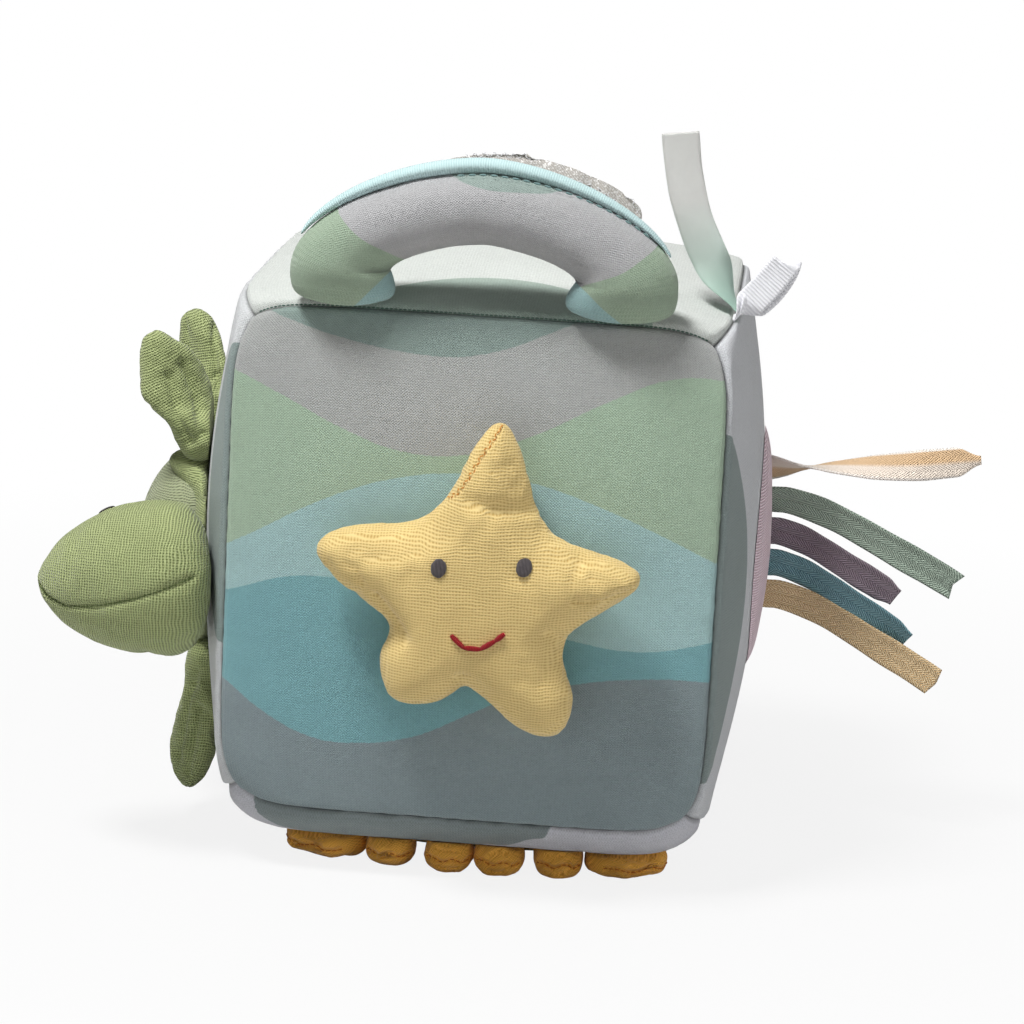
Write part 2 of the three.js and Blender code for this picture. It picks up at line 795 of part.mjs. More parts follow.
for (const [name, shape] of Object.entries(flippers)) {
  const turn = radians(shape.turn);
  const away = flipper.rootRadius + seat;
  const across = turtle.across + (turtle.padHalfLength + away) * Math.cos(turn);
  const up = turtle.up + (turtle.padHalfWidth + away) * Math.sin(turn);
  const side = sides.left;
  const root = onSide(side, across, up, away);
  const fore = radians(shape.foreTurn);
  const flat = side.up.clone().multiplyScalar(Math.sign(shape.turn) * Math.cos(fore));
  flat.addScaledVector(side.across, Math.sin(fore));
  const lean = radians(shape.leanTurn);
  const along = flat.clone().multiplyScalar(Math.cos(lean)).addScaledVector(side.out, Math.sin(lean));
  const axis = flat.clone().cross(side.out).normalize();
  const out = axis.clone().cross(along).normalize();
  const twist = radians(shape.twistTurn);
  const geometry = limb({ root, along, across: axis, out, twist }, {
    ...flipper,
    rootHalfWidth: flipper.rootHalfWidth * shape.widthShare,
    halfWidth: flipper.halfWidth * shape.widthShare,
    length: shape.length,
  }, flipperShares);
  const mesh = piece(`turtle_flipper_${name}`, geometry, colours.turtle);
  hinge(`${mesh.name}_hinge`, root, axis, [mesh]);
}

// Jellyfish: a padded bell on the right side, with five tapes sewn in behind it
function bellOutline() {
  const arc = steps(bell.arcSteps).map((t) => {
    const turn = Math.PI * t - quarterTurn;
    return vec(-bell.length * Math.cos(turn), bell.halfHeight * Math.sin(turn), 0);
  });
  const middle = vec(-bell.length * bellShares.middle, 0, 0);
  const rear = bellShares.rear.map((share) => vec(0, bell.halfHeight * share, 0));
  return { middle, outline: [...arc, ...rear].map((p) => p.sub(middle)) };
}

const bellShape = bellOutline();
piece('jellyfish_bell', pillow(
  bellShape.outline,
  (x, y, z) => onSide(
    sides.right,
    bell.rearAcross + bellShape.middle.x + x,
    bell.up + y,
    seat + facetSlack + z,
  ),
  bell.thickness,
  0,
  pads.rings,
), colours.bell);

Object.entries(tapes).forEach(([name, shape], k) => {
  const side = sides.right;
  const across = bell.rearAcross + tape.rootGap;
  const up = bell.up + tape.topUp - k * tape.pitch;
  const heights = [-1, 0, 1].map((w) => coverHeight(side, across, up + w * tape.halfWidth));
  const rootOut = Math.max(...heights) - coverHeight(side, across, up) + seat;
  const root = onSide(side, across, up, rootOut);
  const { straight, fallPower, swing, twistLength } = tapeShares;
  const path = steps(ribbons.tapeSteps).map((t) => {
    const fall = shape.fall * (Math.max(t - straight, 0) / (1 - straight)) ** fallPower;
    const twist = radians(shape.twistAngle) * smooth(t / twistLength);
    const sway = tape.halfWidth * swing * Math.sin(fullTurn * t) * Math.sin(Math.PI * t);
    return {
      point: root.clone().add(vec(shape.length * t, sway, -fall)),
      wide: vec(0, -Math.sin(twist), Math.cos(twist)),
    };
  });
  const pivot = root.clone().addScaledVector(side.out, tape.halfThickness);
  const strip = ribbon(path, tape.halfWidth, tape.halfThickness);
  const mesh = piece(`jellyfish_tape_${name}`, strip, colours[name]);
  hinge(`${mesh.name}_hinge`, pivot, vec(0, 0, 1), [mesh]);
});

// Crab: a flat pad under the block, with two claws and four legs that stick out in front
const floorReach = halfWidth + halfDepth + halfHeight;
const floorTool = toSolid(new THREE.BoxGeometry(floorReach, floorReach, floorReach)
  .translate(0, 0, -floorReach / 2));

function flattened(geometry) {
  return toGeometry(toSolid(geometry).subtract(coverTool).subtract(floorTool));
}

const crabMiddle = vec(crab.centreX, crab.centreY, crab.middleHeight);
const crabOutline = ellipse(crab.halfLength, crab.halfDepth, pads.rim, crabShares.outline);
piece('crab_body', flattened(pillow(
  crabOutline,
  (x, y, z) => crabMiddle.clone().add(vec(x, y, z)),
  crab.upperHalf,
  crab.middleHeight + cutDepth,
  pads.domeRings,
  crabShares.underside,
)), colours.crab);

for (const [name, lobe] of Object.entries(crabLobes)) {
  const length = lobe.claw ? crab.clawLength : crab.legLength;
  const across = lobe.acrossShare * crab.clawAcross;
  const cosine = (Math.abs(across) / crab.halfLength) ** (1 / crabShares.outline);
  const rim = crab.halfDepth * Math.sin(Math.acos(cosine)) ** crabShares.outline;
  const spread = radians(lobe.spreadAngle) * Math.sign(lobe.acrossShare);
  const along = vec(Math.sin(spread), -Math.cos(spread), 0);
  const half = crab.lobeHalfHeight;
  const root = vec(crab.centreX + across, crab.centreY - rim, half - cutDepth);
  const rootRadius = half * crabShares.lobeRoot;
  root.addScaledVector(along, rootRadius + seat + facetSlack);
  const wide = lobe.claw ? crab.clawHalfWidth : crab.legHalfWidth;
  const geometry = limb({ root, along, across: vec(-along.y, along.x, 0), out: vec(0, 0, 1) }, {
    rootRadius,
    rootHalfWidth: wide * crabShares.lobeRoot,
    halfWidth: wide,
    halfThickness: half,
    length,
  }, crabShares);
  piece(`crab_${name}`, flattened(geometry), colours.crab);
}

// Shell flap: it stands on the back-top seam behind the handle
const flapSeam = coverPoint(sides.top, flap.centreX / halfWidth, 1, seat);
const flapHeight = flapSeam.z + flap.rootRadius + seat + facetSlack;
const flapPivot = vec(flap.centreX, flapSeam.y, flapHeight);
hinge('shell_flap_hinge', flapPivot, vec(1, 0, 0), [
  piece('shell_flap', limb(
    { root: flapPivot, along: vec(0, 0, 1), across: vec(1, 0, 0), out: vec(0, -1, 0) },
    flap,
    flapShares,
    limbs.flapSides,
  ), colours.flap),
]);

// Care label and loop: two ribbons caught in the right-top seam near the front
function seamRibbon(name, size, colour) {
  const seam = coverPoint(sides.top, 1, size.seamY / halfDepth, seat);
  const inside = coverPoint(sides.top, 1, (size.seamY + size.halfWidth) / halfDepth, seat);
  const turnRoom = seat + facetSlack + facetSlack + size.halfThickness * ribbonShares.turnRoom;
  const root = vec(seam.x, seam.y, inside.z + turnRoom);
  const lean = radians(size.lean);
  const path = steps(ribbons.steps).map((t) => {
    const far = size.length * t;
    const sway = size.wave * Math.sin(fullTurn * t) * t;
    const twist = quarterTurn * smooth(t / ribbonShares.twistLength);
    return {
      point: root.clone().add(vec(
        far * Math.sin(lean) + sway,
        size.drift * smooth(t),
        far * Math.cos(lean),
      )),
      wide: vec(Math.sin(twist), Math.cos(twist), 0),
    };
  });
  const mesh = piece(name, ribbon(path, size.halfWidth, size.halfThickness), colour);
  const pivot = root.clone().add(vec(0, 0, size.halfThickness));
  hinge(`${name}_hinge`, pivot, vec(0, 1, 0), [mesh]);
}

seamRibbon('care_label', label, colours.label);
seamRibbon('side_loop', loop, colours.loop);

export default part;
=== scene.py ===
# %% [markdown]
# # A soft fabric block with a star, a turtle, a jellyfish and a crab
# The real block is a stuffed cloth cube for a baby. Its printed jersey is sewn from six
# panels, a stuffed handle is sewn to the front-top seam, and a stuffed sea animal sits on
# each side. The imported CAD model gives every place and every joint; this file dresses it.
#
# Places and sizes are in millimetres, and `MM` turns them into Blender's metres. The block's
# front looks towards -Y, and +X is the right of the photograph.

# %% Open the frame
import math

import bmesh
import bpy
import numpy as np
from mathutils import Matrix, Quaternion, Vector, noise
from mathutils.bvhtree import BVHTree
from mathutils.kdtree import KDTree


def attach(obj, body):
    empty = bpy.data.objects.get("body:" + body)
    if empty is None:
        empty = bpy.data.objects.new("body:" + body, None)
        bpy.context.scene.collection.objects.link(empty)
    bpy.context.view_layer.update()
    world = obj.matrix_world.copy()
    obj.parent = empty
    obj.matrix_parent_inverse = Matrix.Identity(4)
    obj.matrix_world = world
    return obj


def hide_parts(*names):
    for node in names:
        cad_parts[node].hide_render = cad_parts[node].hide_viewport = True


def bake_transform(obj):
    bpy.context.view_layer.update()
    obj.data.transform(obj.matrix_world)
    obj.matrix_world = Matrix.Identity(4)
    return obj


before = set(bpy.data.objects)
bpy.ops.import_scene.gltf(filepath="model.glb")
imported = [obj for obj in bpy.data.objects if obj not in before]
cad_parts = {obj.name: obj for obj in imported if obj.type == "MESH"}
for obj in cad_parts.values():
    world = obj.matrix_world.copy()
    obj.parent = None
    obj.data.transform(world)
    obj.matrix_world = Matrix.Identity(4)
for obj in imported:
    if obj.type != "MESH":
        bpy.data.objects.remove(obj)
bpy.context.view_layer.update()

scene = bpy.context.scene
MM = 0.001

# %% [markdown]
# ## Camera, floor and light
# The photograph looks slightly down on the front face with a long lens, and the block leans
# a little to the left in it. A camera that is rolled by the same angle gives that lean while
# the block itself stays upright, so its base still lies flat on the floor.

# %% Camera
TARGET = Vector((12.0, -75.0, 122.1)) * MM
DISTANCE = 1.2
AZIMUTH, ELEVATION, ROLL = math.radians(4.3), math.radians(13), math.radians(3)
towards = Vector((
    math.sin(AZIMUTH) * math.cos(ELEVATION),
    -math.cos(AZIMUTH) * math.cos(ELEVATION),
    math.sin(ELEVATION),
))
camera = bpy.data.objects.new("camera", bpy.data.cameras.new("camera"))
scene.collection.objects.link(camera)
camera.data.lens = 135
camera.data.sensor_width = 36
camera.location = TARGET + towards * DISTANCE
turn = towards.to_track_quat("Z", "Y") @ Quaternion((0, 0, 1), ROLL)
camera.rotation_euler = turn.to_euler()
scene.camera = camera
print("camera", [round(c, 3) for c in camera.location])


# %% Floor and light
def stage_material():
    """Near the block a pale floor that takes its shadow, further out plain white."""
    material = bpy.data.materials.new("pale floor")
    material.use_nodes = True
    nodes, links = material.node_tree.nodes, material.node_tree.links
    shader = nodes["Principled BSDF"]
    shader.inputs["Base Color"].default_value = (0.62, 0.62, 0.62, 1)
    shader.inputs["Roughness"].default_value = 0.9
    white = nodes.new("ShaderNodeEmission")
    seen = nodes.new("ShaderNodeLightPath")
    place = nodes.new("ShaderNodeTexCoord")
    far = nodes.new("ShaderNodeVectorMath")
    far.operation = "LENGTH"
    share = nodes.new("ShaderNodeMapRange")
    share.inputs["From Min"].default_value = 0.12
    share.inputs["From Max"].default_value = 0.5
    share.inputs["To Min"].default_value = 0.86
    joined = nodes.new("ShaderNodeMath")
    joined.operation = "MULTIPLY"
    mixed = nodes.new("ShaderNodeMixShader")
    links.new(place.outputs["Object"], far.inputs[0])
    links.new(far.outputs["Value"], share.inputs["Value"])
    links.new(share.outputs[0], joined.inputs[0])
    links.new(seen.outputs["Is Camera Ray"], joined.inputs[1])
    links.new(joined.outputs[0], mixed.inputs[0])
    links.new(shader.outputs[0], mixed.inputs[1])
    links.new(white.outputs[0], mixed.inputs[2])
    links.new(mixed.outputs[0], nodes["Material Output"].inputs["Surface"])
    return material


floor_mesh = bpy.data.meshes.new("floor")
corners = [(-9, -9, 0), (9, -9, 0), (9, 9, 0), (-9, 9, 0)]
floor_mesh.from_pydata(corners, [], [(0, 1, 2, 3)])
floor_mesh.materials.append(stage_material())
floor = bpy.data.objects.new("floor", floor_mesh)
scene.collection.objects.link(floor)


def softbox(name, place, width, height, power):
    """A wide soft lamp that looks at the middle of the block."""
    lamp = bpy.data.objects.new(name, bpy.data.lights.new(name, "AREA"))
    lamp.data.shape = "RECTANGLE"
    lamp.data.size, lamp.data.size_y = width, height
    lamp.data.energy = power
    lamp.location = place
    away = Vector(place) - Vector((0, 0, 0.1))
    lamp.rotation_euler = away.to_track_quat("Z", "Y").to_euler()
    scene.collection.objects.link(lamp)
    return lamp


softbox("softbox above", (-0.42, -0.46, 1.4), 0.36, 0.3, 23.5)
softbox("front fill", (-0.9, -1.7, 0.55), 0.9, 0.9, 3.2)
softbox("right fill", (1.5, -0.5, 0.5), 0.7, 0.7, 6)
softbox("back light", (0.3, 1.2, 1.3), 1.0, 0.8, 3)

world = bpy.data.worlds.new("white room")
world.use_nodes = True
scene.world = world
sky = world.node_tree.nodes["Background"]
sky.inputs["Color"].default_value = (1, 1, 1, 1)
ray = world.node_tree.nodes.new("ShaderNodeLightPath")
level = world.node_tree.nodes.new("ShaderNodeMapRange")
level.inputs["To Min"].default_value = 0.1
world.node_tree.links.new(ray.outputs["Is Camera Ray"], level.inputs["Value"])
world.node_tree.links.new(level.outputs[0], sky.inputs["Strength"])
scene.view_settings.view_transform = "Standard"
print("a floor, four lamps and a white room")

# %% [markdown]
# ## Sums that become shader nodes
# Procedural cloth needs a lot of small arithmetic. This class wraps one socket, so that an
# expression such as `1 - groove * 0.2` adds the Math nodes by itself. Every other node comes
# from its `node` method.


# %% The socket class
class Sock:
    """One value in a material's node tree."""

    def __init__(self, out):
        self.out = out
        self.tree = out.id_data

    def node(self, kind, settings=None, values=None, output=0):
        """Adds a node, sets it up, feeds its sockets and gives one of its outputs."""
        made = self.tree.nodes.new(kind)
        for name, value in (settings or {}).items():
            if name == "curve":
                set_curve(made, value)
            else:
                setattr(made, name, value)
        for name, value in (values or {}).items():
            if isinstance(value, Sock):
                self.tree.links.new(value.out, made.inputs[name])
            else:
                made.inputs[name].default_value = value
        return Sock(made.outputs[output])

    def maths(self, operation, *values):
        return self.node("ShaderNodeMath", {"operation": operation}, dict(enumerate(values)))

    def __add__(self, other):
        return self.maths("ADD", self, other)

    __radd__ = __add__

    def __sub__(self, other):
        return self.maths("SUBTRACT", self, other)

    def __rsub__(self, other):
        return self.maths("SUBTRACT", other, self)

    def __mul__(self, other):
        return self.maths("MULTIPLY", self, other)

    __rmul__ = __mul__

    def __truediv__(self, other):
        return self.maths("DIVIDE", self, other)

    def __pow__(self, other):
        return self.maths("POWER", self, other)

    def __abs__(self):
        return self.maths("ABSOLUTE", self)

    def wave(self):
        """From 0 to 1 and back, once per unit."""
        return self.maths("COSINE", self * math.tau) * -0.5 + 0.5

    def part(self):
        """What is left after the whole units."""
        return self.maths("FRACT", self)

    def clamp(self):
        return self.node("ShaderNodeClamp", {}, {"Value": self})

    def highest(self, other):
        return self.maths("MAXIMUM", self, other)

    def lowest(self, other):
        return self.maths("MINIMUM", self, other)


def set_curve(made, points):
    """Gives a Float Curve node its points, each from 0 to 1 both ways."""
    curve = made.mapping.curves[0]
    while len(curve.points) < len(points):
        curve.points.new(0.5, 0.5)
    for knot, (x, y) in zip(curve.points, sorted(points)):
        knot.location = (x, y)
    made.mapping.update()


def colour(text):
    """A shader colour from six hex digits as a screen shows them."""
    channels = [int(text[k : k + 2], 16) / 255 for k in (0, 2, 4)]
    linear = [c / 12.92 if c <= 0.04045 else ((c + 0.055) / 1.055) ** 2.4 for c in channels]
    return (*linear, 1.0)


def mix(where, below, above):
    """`below` where the mask is 0 and `above` where it is 1."""
    settings = {"data_type": "RGBA", "clamp_factor": True}
    return where.node("ShaderNodeMix", settings, {0: where, 6: below, 7: above}, output=2)


def shade(cloth_colour, factor):
    """Multiplies a colour by a number that changes over the surface."""
    settings = {"data_type": "RGBA", "blend_type": "MULTIPLY"}
    grey = factor.node("ShaderNodeCombineColor", {}, {0: factor, 1: factor, 2: factor})
    values = {0: 1.0, 6: cloth_colour, 7: grey}
    return factor.node("ShaderNodeMix", settings, values, output=2)


print("the socket class is ready")

# %% [markdown]
# ## Cloth finishes
# Seen from a hand's width away, cloth is a relief of threads. Each finish below builds that
# relief as a height from the piece's own UV map, which is in metres of cloth, and feeds it to
# a bump and, more faintly, to the colour: threads catch the light and the gaps are darker.
# A slow noise on top gives the uneven tone that all dyed yarn has.


# %% The start and end of every finish
class Finish:
    """A new material with its shader, its UV map and its object coordinates."""

    def __init__(self, name):
        self.material = bpy.data.materials.new(name)
        self.material.use_nodes = True
        tree = self.material.node_tree
        self.shader = tree.nodes["Principled BSDF"]
        uv = Sock(tree.nodes.new("ShaderNodeUVMap").outputs[0])
        uv.out.node.uv_map = "cloth"
        self.place = Sock(tree.nodes.new("ShaderNodeTexCoord").outputs["Object"])
        self.u, self.v, _ = self.split(uv)
        self.x, self.y, self.z = self.split(self.place)

    def split(self, vector):
        """The three parts of a vector."""
        first = vector.node("ShaderNodeSeparateXYZ", {}, {0: vector})
        return [Sock(first.out.node.outputs[k]) for k in range(3)]

    def noise(self, size_mm, detail=2.0, stretch=None):
        """Noise from 0 to 1 whose bumps are about size_mm across."""
        place = self.place
        if stretch:
            place = place.node("ShaderNodeMapping", {}, {"Vector": place, "Scale": stretch})
        values = {"Vector": place, "Scale": 1 / (size_mm * MM), "Detail": detail}
        return place.node("ShaderNodeTexNoise", {}, values)

    def finish(self, cloth_colour, height, depth_mm, roughness=0.92, sheen=0.25):
        """Sets the shader: colour, thread relief, and the soft halo of loose fibres."""
        tree = self.material.node_tree
        relief = {"Height": height, "Distance": depth_mm * MM, "Strength": 1.0}
        bump = height.node("ShaderNodeBump", {}, relief)
        tree.links.new(bump.out, self.shader.inputs["Normal"])
        if isinstance(cloth_colour, Sock):
            tree.links.new(cloth_colour.out, self.shader.inputs["Base Color"])
        else:
            self.shader.inputs["Base Color"].default_value = cloth_colour
        self.shader.inputs["Roughness"].default_value = roughness
        self.shader.inputs["Sheen Weight"].default_value = sheen
        self.shader.inputs["Sheen Roughness"].default_value = 0.4
        self.shader.inputs["Specular IOR Level"].default_value = 0.25
        return self.material


CURVE_SPAN = 200


def below_curve(across, height, points, soft_mm=0.35, lowest_mm=0):
    """1 where `height` is under a smooth line through `points`, given in millimetres.
    A Float Curve only knows 0 to 1, so the line covers a square of 200 mm."""
    shares = [(x / CURVE_SPAN + 0.5, (z - lowest_mm) / CURVE_SPAN) for x, z in points]
    value = across / (CURVE_SPAN * MM) + 0.5
    line = across.node("ShaderNodeFloatCurve", {"curve": shares}, {"Factor": 1.0, "Value": value})
    edge = line * (CURVE_SPAN * MM) + lowest_mm * MM
    return ((edge - height) / (soft_mm * MM) + 0.5).clamp()


print("finishes have a start and an end")

# %% [markdown]
# ## Jersey, gauze, tape and rib
# The block's jersey shows fine upright columns of V stitches. The animals are made of double
# gauze, an open plain weave whose threads stand apart and wander. The tapes are woven in a
# herringbone. Each is a small function of the two cloth coordinates.


# %% Thread reliefs
WALE, COURSE = 0.9, 0.8


def jersey_height(finish, along, across):
    """Columns of V stitches: `across` counts the columns and `along` the rows."""
    column = across / (WALE * MM)
    arm = abs(column.part() - 0.5)
    stitch = (along / (COURSE * MM) + arm * 1.6).wave()
    ridge = 1 - column.wave() ** 1.5
    fuzz = finish.noise(0.7)
    return ridge * 0.12 + stitch * 0.5 + fuzz * 0.4


def gauze_height(finish, pitch_mm, crinkle, wander_mm=0.5):
    """Open weave: rows of thick threads over thin ones, pulled out of line by the crinkle.
    Gives the threads for the colour, and the threads with the crinkle for the relief."""
    slow = finish.noise(10.0, 1.0)
    quick = finish.noise(2.4, 1.0)
    u = finish.u + (slow - 0.5) * (wander_mm * 3 * MM) + (quick - 0.5) * (wander_mm * MM)
    v = finish.v + (slow - 0.5) * (-wander_mm * 4 * MM) + (quick - 0.5) * (wander_mm * MM)
    warp = (u / (pitch_mm * MM)).wave()
    weft = (v / (pitch_mm * 0.95 * MM)).wave()
    threads = 1 - (1 - weft) * (1 - warp * 0.72)
    fold = finish.noise(5.0, 1.5)
    return threads, threads * 0.6 + fold * crinkle + finish.noise(0.6) * 0.25


def herringbone_height(finish, column_mm):
    """Slanting ribs that turn back at each column's edge."""
    column = finish.u / (column_mm * MM)
    slant = abs(column.part() - 0.5) * 2
    rib = (finish.v / (1.15 * MM) + slant * (column_mm * 0.62)).wave()
    spine = ((slant - 0.9) * 10).clamp()
    return rib * 0.9 - spine * 0.3


def rib_height(along, pitch_mm):
    """Rounded ribs across one of the cloth coordinates."""
    return (along / (pitch_mm * MM)).wave()


print("four thread reliefs")

# %% [markdown]
# ## The printed waves
# Wave fields in quiet sea colours run over the jersey. Each field's lower edge is a smooth
# line through a few points, so the print is a stack of masks: whatever lies under an edge
# takes the next colour.

# %% Print colours and edges
PALE, SAGE, LIGHT, TEAL, SLATE = map(
    colour, ("AEB0AE", "A8BEA7", "A6C6C6", "7FAEB4", "89979A")
)
LENS, WHITE, MAUVE, LILAC = map(colour, ("8FA09A", "D8DCD7", "B0B0B1", "CDCFD2"))
FRONT_EDGES = [
    (SAGE, [(-100, 164.8), (-78, 162.8), (-63, 156.8), (-38, 145.8), (-22, 141.3), (-2, 141.8),
            (20, 149.8), (40, 160.3), (61, 168.8), (79, 168.3), (100, 162.8)]),
    (LIGHT, [(-100, 94.8), (-72, 109.5), (-44, 125.4), (-24, 132.8), (-4, 135.8), (16, 134.8),
             (39, 128.2), (59, 119.8), (80, 109.8), (100, 101.8)]),
    (TEAL, [(-100, 82.8), (-71, 93.8), (-55, 98.8), (-38, 99.5), (-2, 94.8), (34, 84.8),
            (56, 82.2), (79, 86.3), (100, 90.8)]),
    (SLATE, [(-100, 74.8), (-76, 62.8), (-65, 54.8), (-48, 46.8), (-35, 45.8), (-16, 49.3),
             (4, 59.3), (12, 63.3), (36, 70.8), (61, 73.5), (79, 72.8), (100, 71.8)]),
]
LENS_EDGE = [(-100, 194.8), (-71, 183.3), (-54, 177.8), (-39, 174.2), (-15, 171.3), (-4, 171.8),
             (9, 175.1), (21, 180.3), (29, 183.8), (60, 194.8), (100, 201.8)]


def jersey_finish(name, paint, along, across, seams=None):
    """Printed jersey: `paint` turns the finish into its colour. `seams` are the cloth's half
    sizes; in the last millimetre before a seam the colour darkens: a dark seam line and painted
    shade in its groove."""
    finish = Finish(name)
    axes = {"u": finish.u, "v": finish.v}
    height = jersey_height(finish, axes[along], axes[across])
    tone = height * 0.42 + finish.noise(14, 3.0) * 0.08 + finish.noise(0.9, 0.0) * 0.16 + 0.68
    if seams:
        # Painted shade: the colour darkens towards each seam, for the seam's dark line and the
        # shade in its groove.
        seam_shade_u = (seams[0] - abs(finish.u) / MM).clamp()
        seam_shade_v = (seams[1] - abs(finish.v) / MM).clamp()
        tone = tone * (seam_shade_u.lowest(seam_shade_v) * 0.7 + 0.3)
    return finish.finish(shade(paint(finish), tone), height, 0.3)


def ragged_height(finish):
    """The height with a little noise, because ink bleeds along the threads."""
    return finish.z + (finish.noise(1.2) - 0.5) * (0.8 * MM)


def front_paint(finish):
    soft = ragged_height(finish)
    print_colour = mix(1 - below_curve(finish.x, soft, LENS_EDGE), PALE, LENS)
    for next_colour, edge in FRONT_EDGES:
        print_colour = mix(below_curve(finish.x, soft, edge), print_colour, next_colour)
    return print_colour


def back_paint(finish):
    """Three of the front's waves, seen from behind."""
    soft = ragged_height(finish)
    print_colour = PALE
    for next_colour, index in ((SAGE, 0), (LIGHT, 2), (SLATE, 3)):
        mask = below_curve(finish.x * -1, soft, FRONT_EDGES[index][1])
        print_colour = mix(mask, print_colour, next_colour)
    return print_colour


FRONT_SEAM = -79


def leaf_paint(along, middle_mm, half_mm, depth_mm, ground, leaf):
    """A print with one leaf-shaped field, which grows back from the front seam."""
    def paint(finish):
        share = (getattr(finish, along) / MM - middle_mm) / half_mm
        reach = (1 - share * share).highest(0.0) * depth_mm + FRONT_SEAM
        return mix(((reach - finish.y / MM) / 0.4 + 0.5).clamp(), ground, leaf)

    return paint


left_paint = leaf_paint("z", 123, 50, 27, colour("CDCFD0"), colour("8D9A97"))
right_paint = leaf_paint("z", 95, 58, 31, LILAC, colour("8A9694"))
top_paint = leaf_paint("x", 4, 50, 24, WHITE, colour("ABBBB0"))
bottom_paint = leaf_paint("x", -20, 52, 15, colour("C8C8CE"), colour("848E8E"))
PANEL_PAINT = {
    "front": (front_paint, "v", "u"), "back": (back_paint, "v", "u"),
    "left": (left_paint, "u", "v"), "right": (right_paint, "u", "v"),
    "top": (top_paint, "v", "u"), "bottom": (bottom_paint, "v", "u"),
}
print("six printed panels")

# %% [markdown]
# ## Mesh helpers
# Nearly every piece is a grid of points that is wrapped into a tube, a pad or a sheet. One
# helper turns such a grid into a mesh with its own UV map in metres, so that every weave has
# its real size wherever it lies.


# %% Grids, wraps and rides
def new_piece(name, points_mm, faces, face_uvs, material):
    """A smooth object from points in millimetres and one UV list per face, in metres."""
    mesh = bpy.data.meshes.new(name)
    mesh.from_pydata((np.asarray(points_mm) * MM).tolist(), [], faces)
    layer = mesh.uv_layers.new(name="cloth")
    flat = [number for corners in face_uvs for uv in corners for number in uv]
    layer.data.foreach_set("uv", flat)
    mesh.polygons.foreach_set("use_smooth", [True] * len(mesh.polygons))
    mesh.materials.append(material)
    piece = bpy.data.objects.new(name, mesh)
    scene.collection.objects.link(piece)
    return piece


def grid_faces(rows, columns, closed, first=0, turned=False):
    """Quads of a grid, and for each corner its row and column in the UV grid."""
    faces, corners = [], []
    for r in range(rows - 1):
        for c in range(columns if closed else columns - 1):
            n = (c + 1) % columns
            quad = [(r, c, c), (r, n, c + 1), (r + 1, n, c + 1), (r + 1, c, c)]
            if turned:
                quad.reverse()
            faces.append([first + a * columns + b for a, b, _ in quad])
            corners.append([(a, k) for a, _, k in quad])
    return faces, corners


def tube(name, rings, material):
    """A closed body through rings of points. U runs round it, and V along it."""
    rings = np.asarray(rings)
    rows, columns, _ = rings.shape
    wrapped = np.concatenate([rings, rings[:, :1]], axis=1)
    around = np.linalg.norm(np.diff(wrapped, axis=1), axis=2)
    u = np.concatenate([np.zeros((rows, 1)), around.cumsum(axis=1)], axis=1)
    u -= u[:, -1:] / 2
    along = np.linalg.norm(np.diff(rings.mean(axis=1), axis=0), axis=1)
    v = np.concatenate([[0], along.cumsum()])[:, None] + np.zeros_like(u)
    uv = np.stack([u, v], axis=-1) * MM
    faces, corners = grid_faces(rows, columns, closed=True)
    face_uvs = [[tuple(uv[a, k]) for a, k in face] for face in corners]
    points = rings.reshape(-1, 3)
    points = np.concatenate([points, [rings[0].mean(axis=0)], [rings[-1].mean(axis=0)]])
    for row, tip in ((0, len(points) - 2), (rows - 1, len(points) - 1)):
        for c in range(columns):
            edge = [row * columns + c, row * columns + (c + 1) % columns]
            uvs = [tuple(uv[row, c]), tuple(uv[row, c + 1])]
            if row == 0:
                edge.reverse()
                uvs.reverse()
            faces.append([*edge, tip])
            face_uvs.append([*uvs, tuple((np.array(uvs[0]) + np.array(uvs[1])) / 2)])
    piece = new_piece(name, points, faces, face_uvs, material)
    point_outwards(piece)
    return piece


def point_outwards(piece):
    """Merges doubled points and turns every face outwards."""
    shape = bmesh.new()
    shape.from_mesh(piece.data)
    bmesh.ops.remove_doubles(shape, verts=shape.verts, dist=0.00002)
    bmesh.ops.recalc_face_normals(shape, faces=shape.faces)
    shape.to_mesh(piece.data)
    shape.free()


def set_uv(piece, uv):
    """Every corner of the mesh takes the UV place of its point, in metres of cloth."""
    corner = np.empty(len(piece.data.loops), dtype=int)
    piece.data.loops.foreach_get("vertex_index", corner)
    layer = piece.data.uv_layers.get("cloth") or piece.data.uv_layers.new(name="cloth")
    layer.data.foreach_set("uv", uv[corner].ravel())


def points_of(piece):
    """The piece's points in millimetres, one row each."""
    flat = np.empty(len(piece.data.vertices) * 3)
    piece.data.vertices.foreach_get("co", flat)
    return flat.reshape(-1, 3) / MM


def normals_of(piece):
    """The direction in which the cloth faces at each point."""
    flat = np.empty(len(piece.data.vertices) * 3)
    piece.data.vertex_normals.foreach_get("vector", flat)
    return flat.reshape(-1, 3)


def move_points(piece, points_mm):
    """Puts the piece's points at new places."""
    piece.data.vertices.foreach_set("co", (np.asarray(points_mm) * MM).ravel())
    piece.data.update()


def field(points_mm, size_mm, seed, octaves=2):
    """Smooth noise around 0 at each point; the seed moves it to another part of the noise."""
    offset = Vector((seed * 7.3, seed * 3.1, seed * 5.7))
    total = np.zeros(len(points_mm))
    for k in range(octaves):
        scale = 2**k / size_mm
        total += [noise.noise(Vector(p) * scale + offset) / 2**k for p in points_mm]
    return total


def crumple(piece, size_mm, depth_mm, seed, where=None, octaves=2):
    """Soft dents along the normals, weighted by `where`."""
    points = points_of(piece)
    dents = field(points, size_mm, seed, octaves) * depth_mm
    if where is not None:
        dents = dents * where(points)
    move_points(piece, points + normals_of(piece) * dents[:, None])


def tree_of(places):
    """A tree that finds the nearest of many places."""
    tree = KDTree(len(places))
    for k, place in enumerate(places):
        tree.insert(Vector(place), k)
    tree.balance()
    return tree


def near_path(points_mm, path_mm):
    """For each point, its distance to a path that is given as close samples."""
    tree = tree_of(path_mm)
    return np.array([tree.find(Vector(p))[2] for p in points_mm])


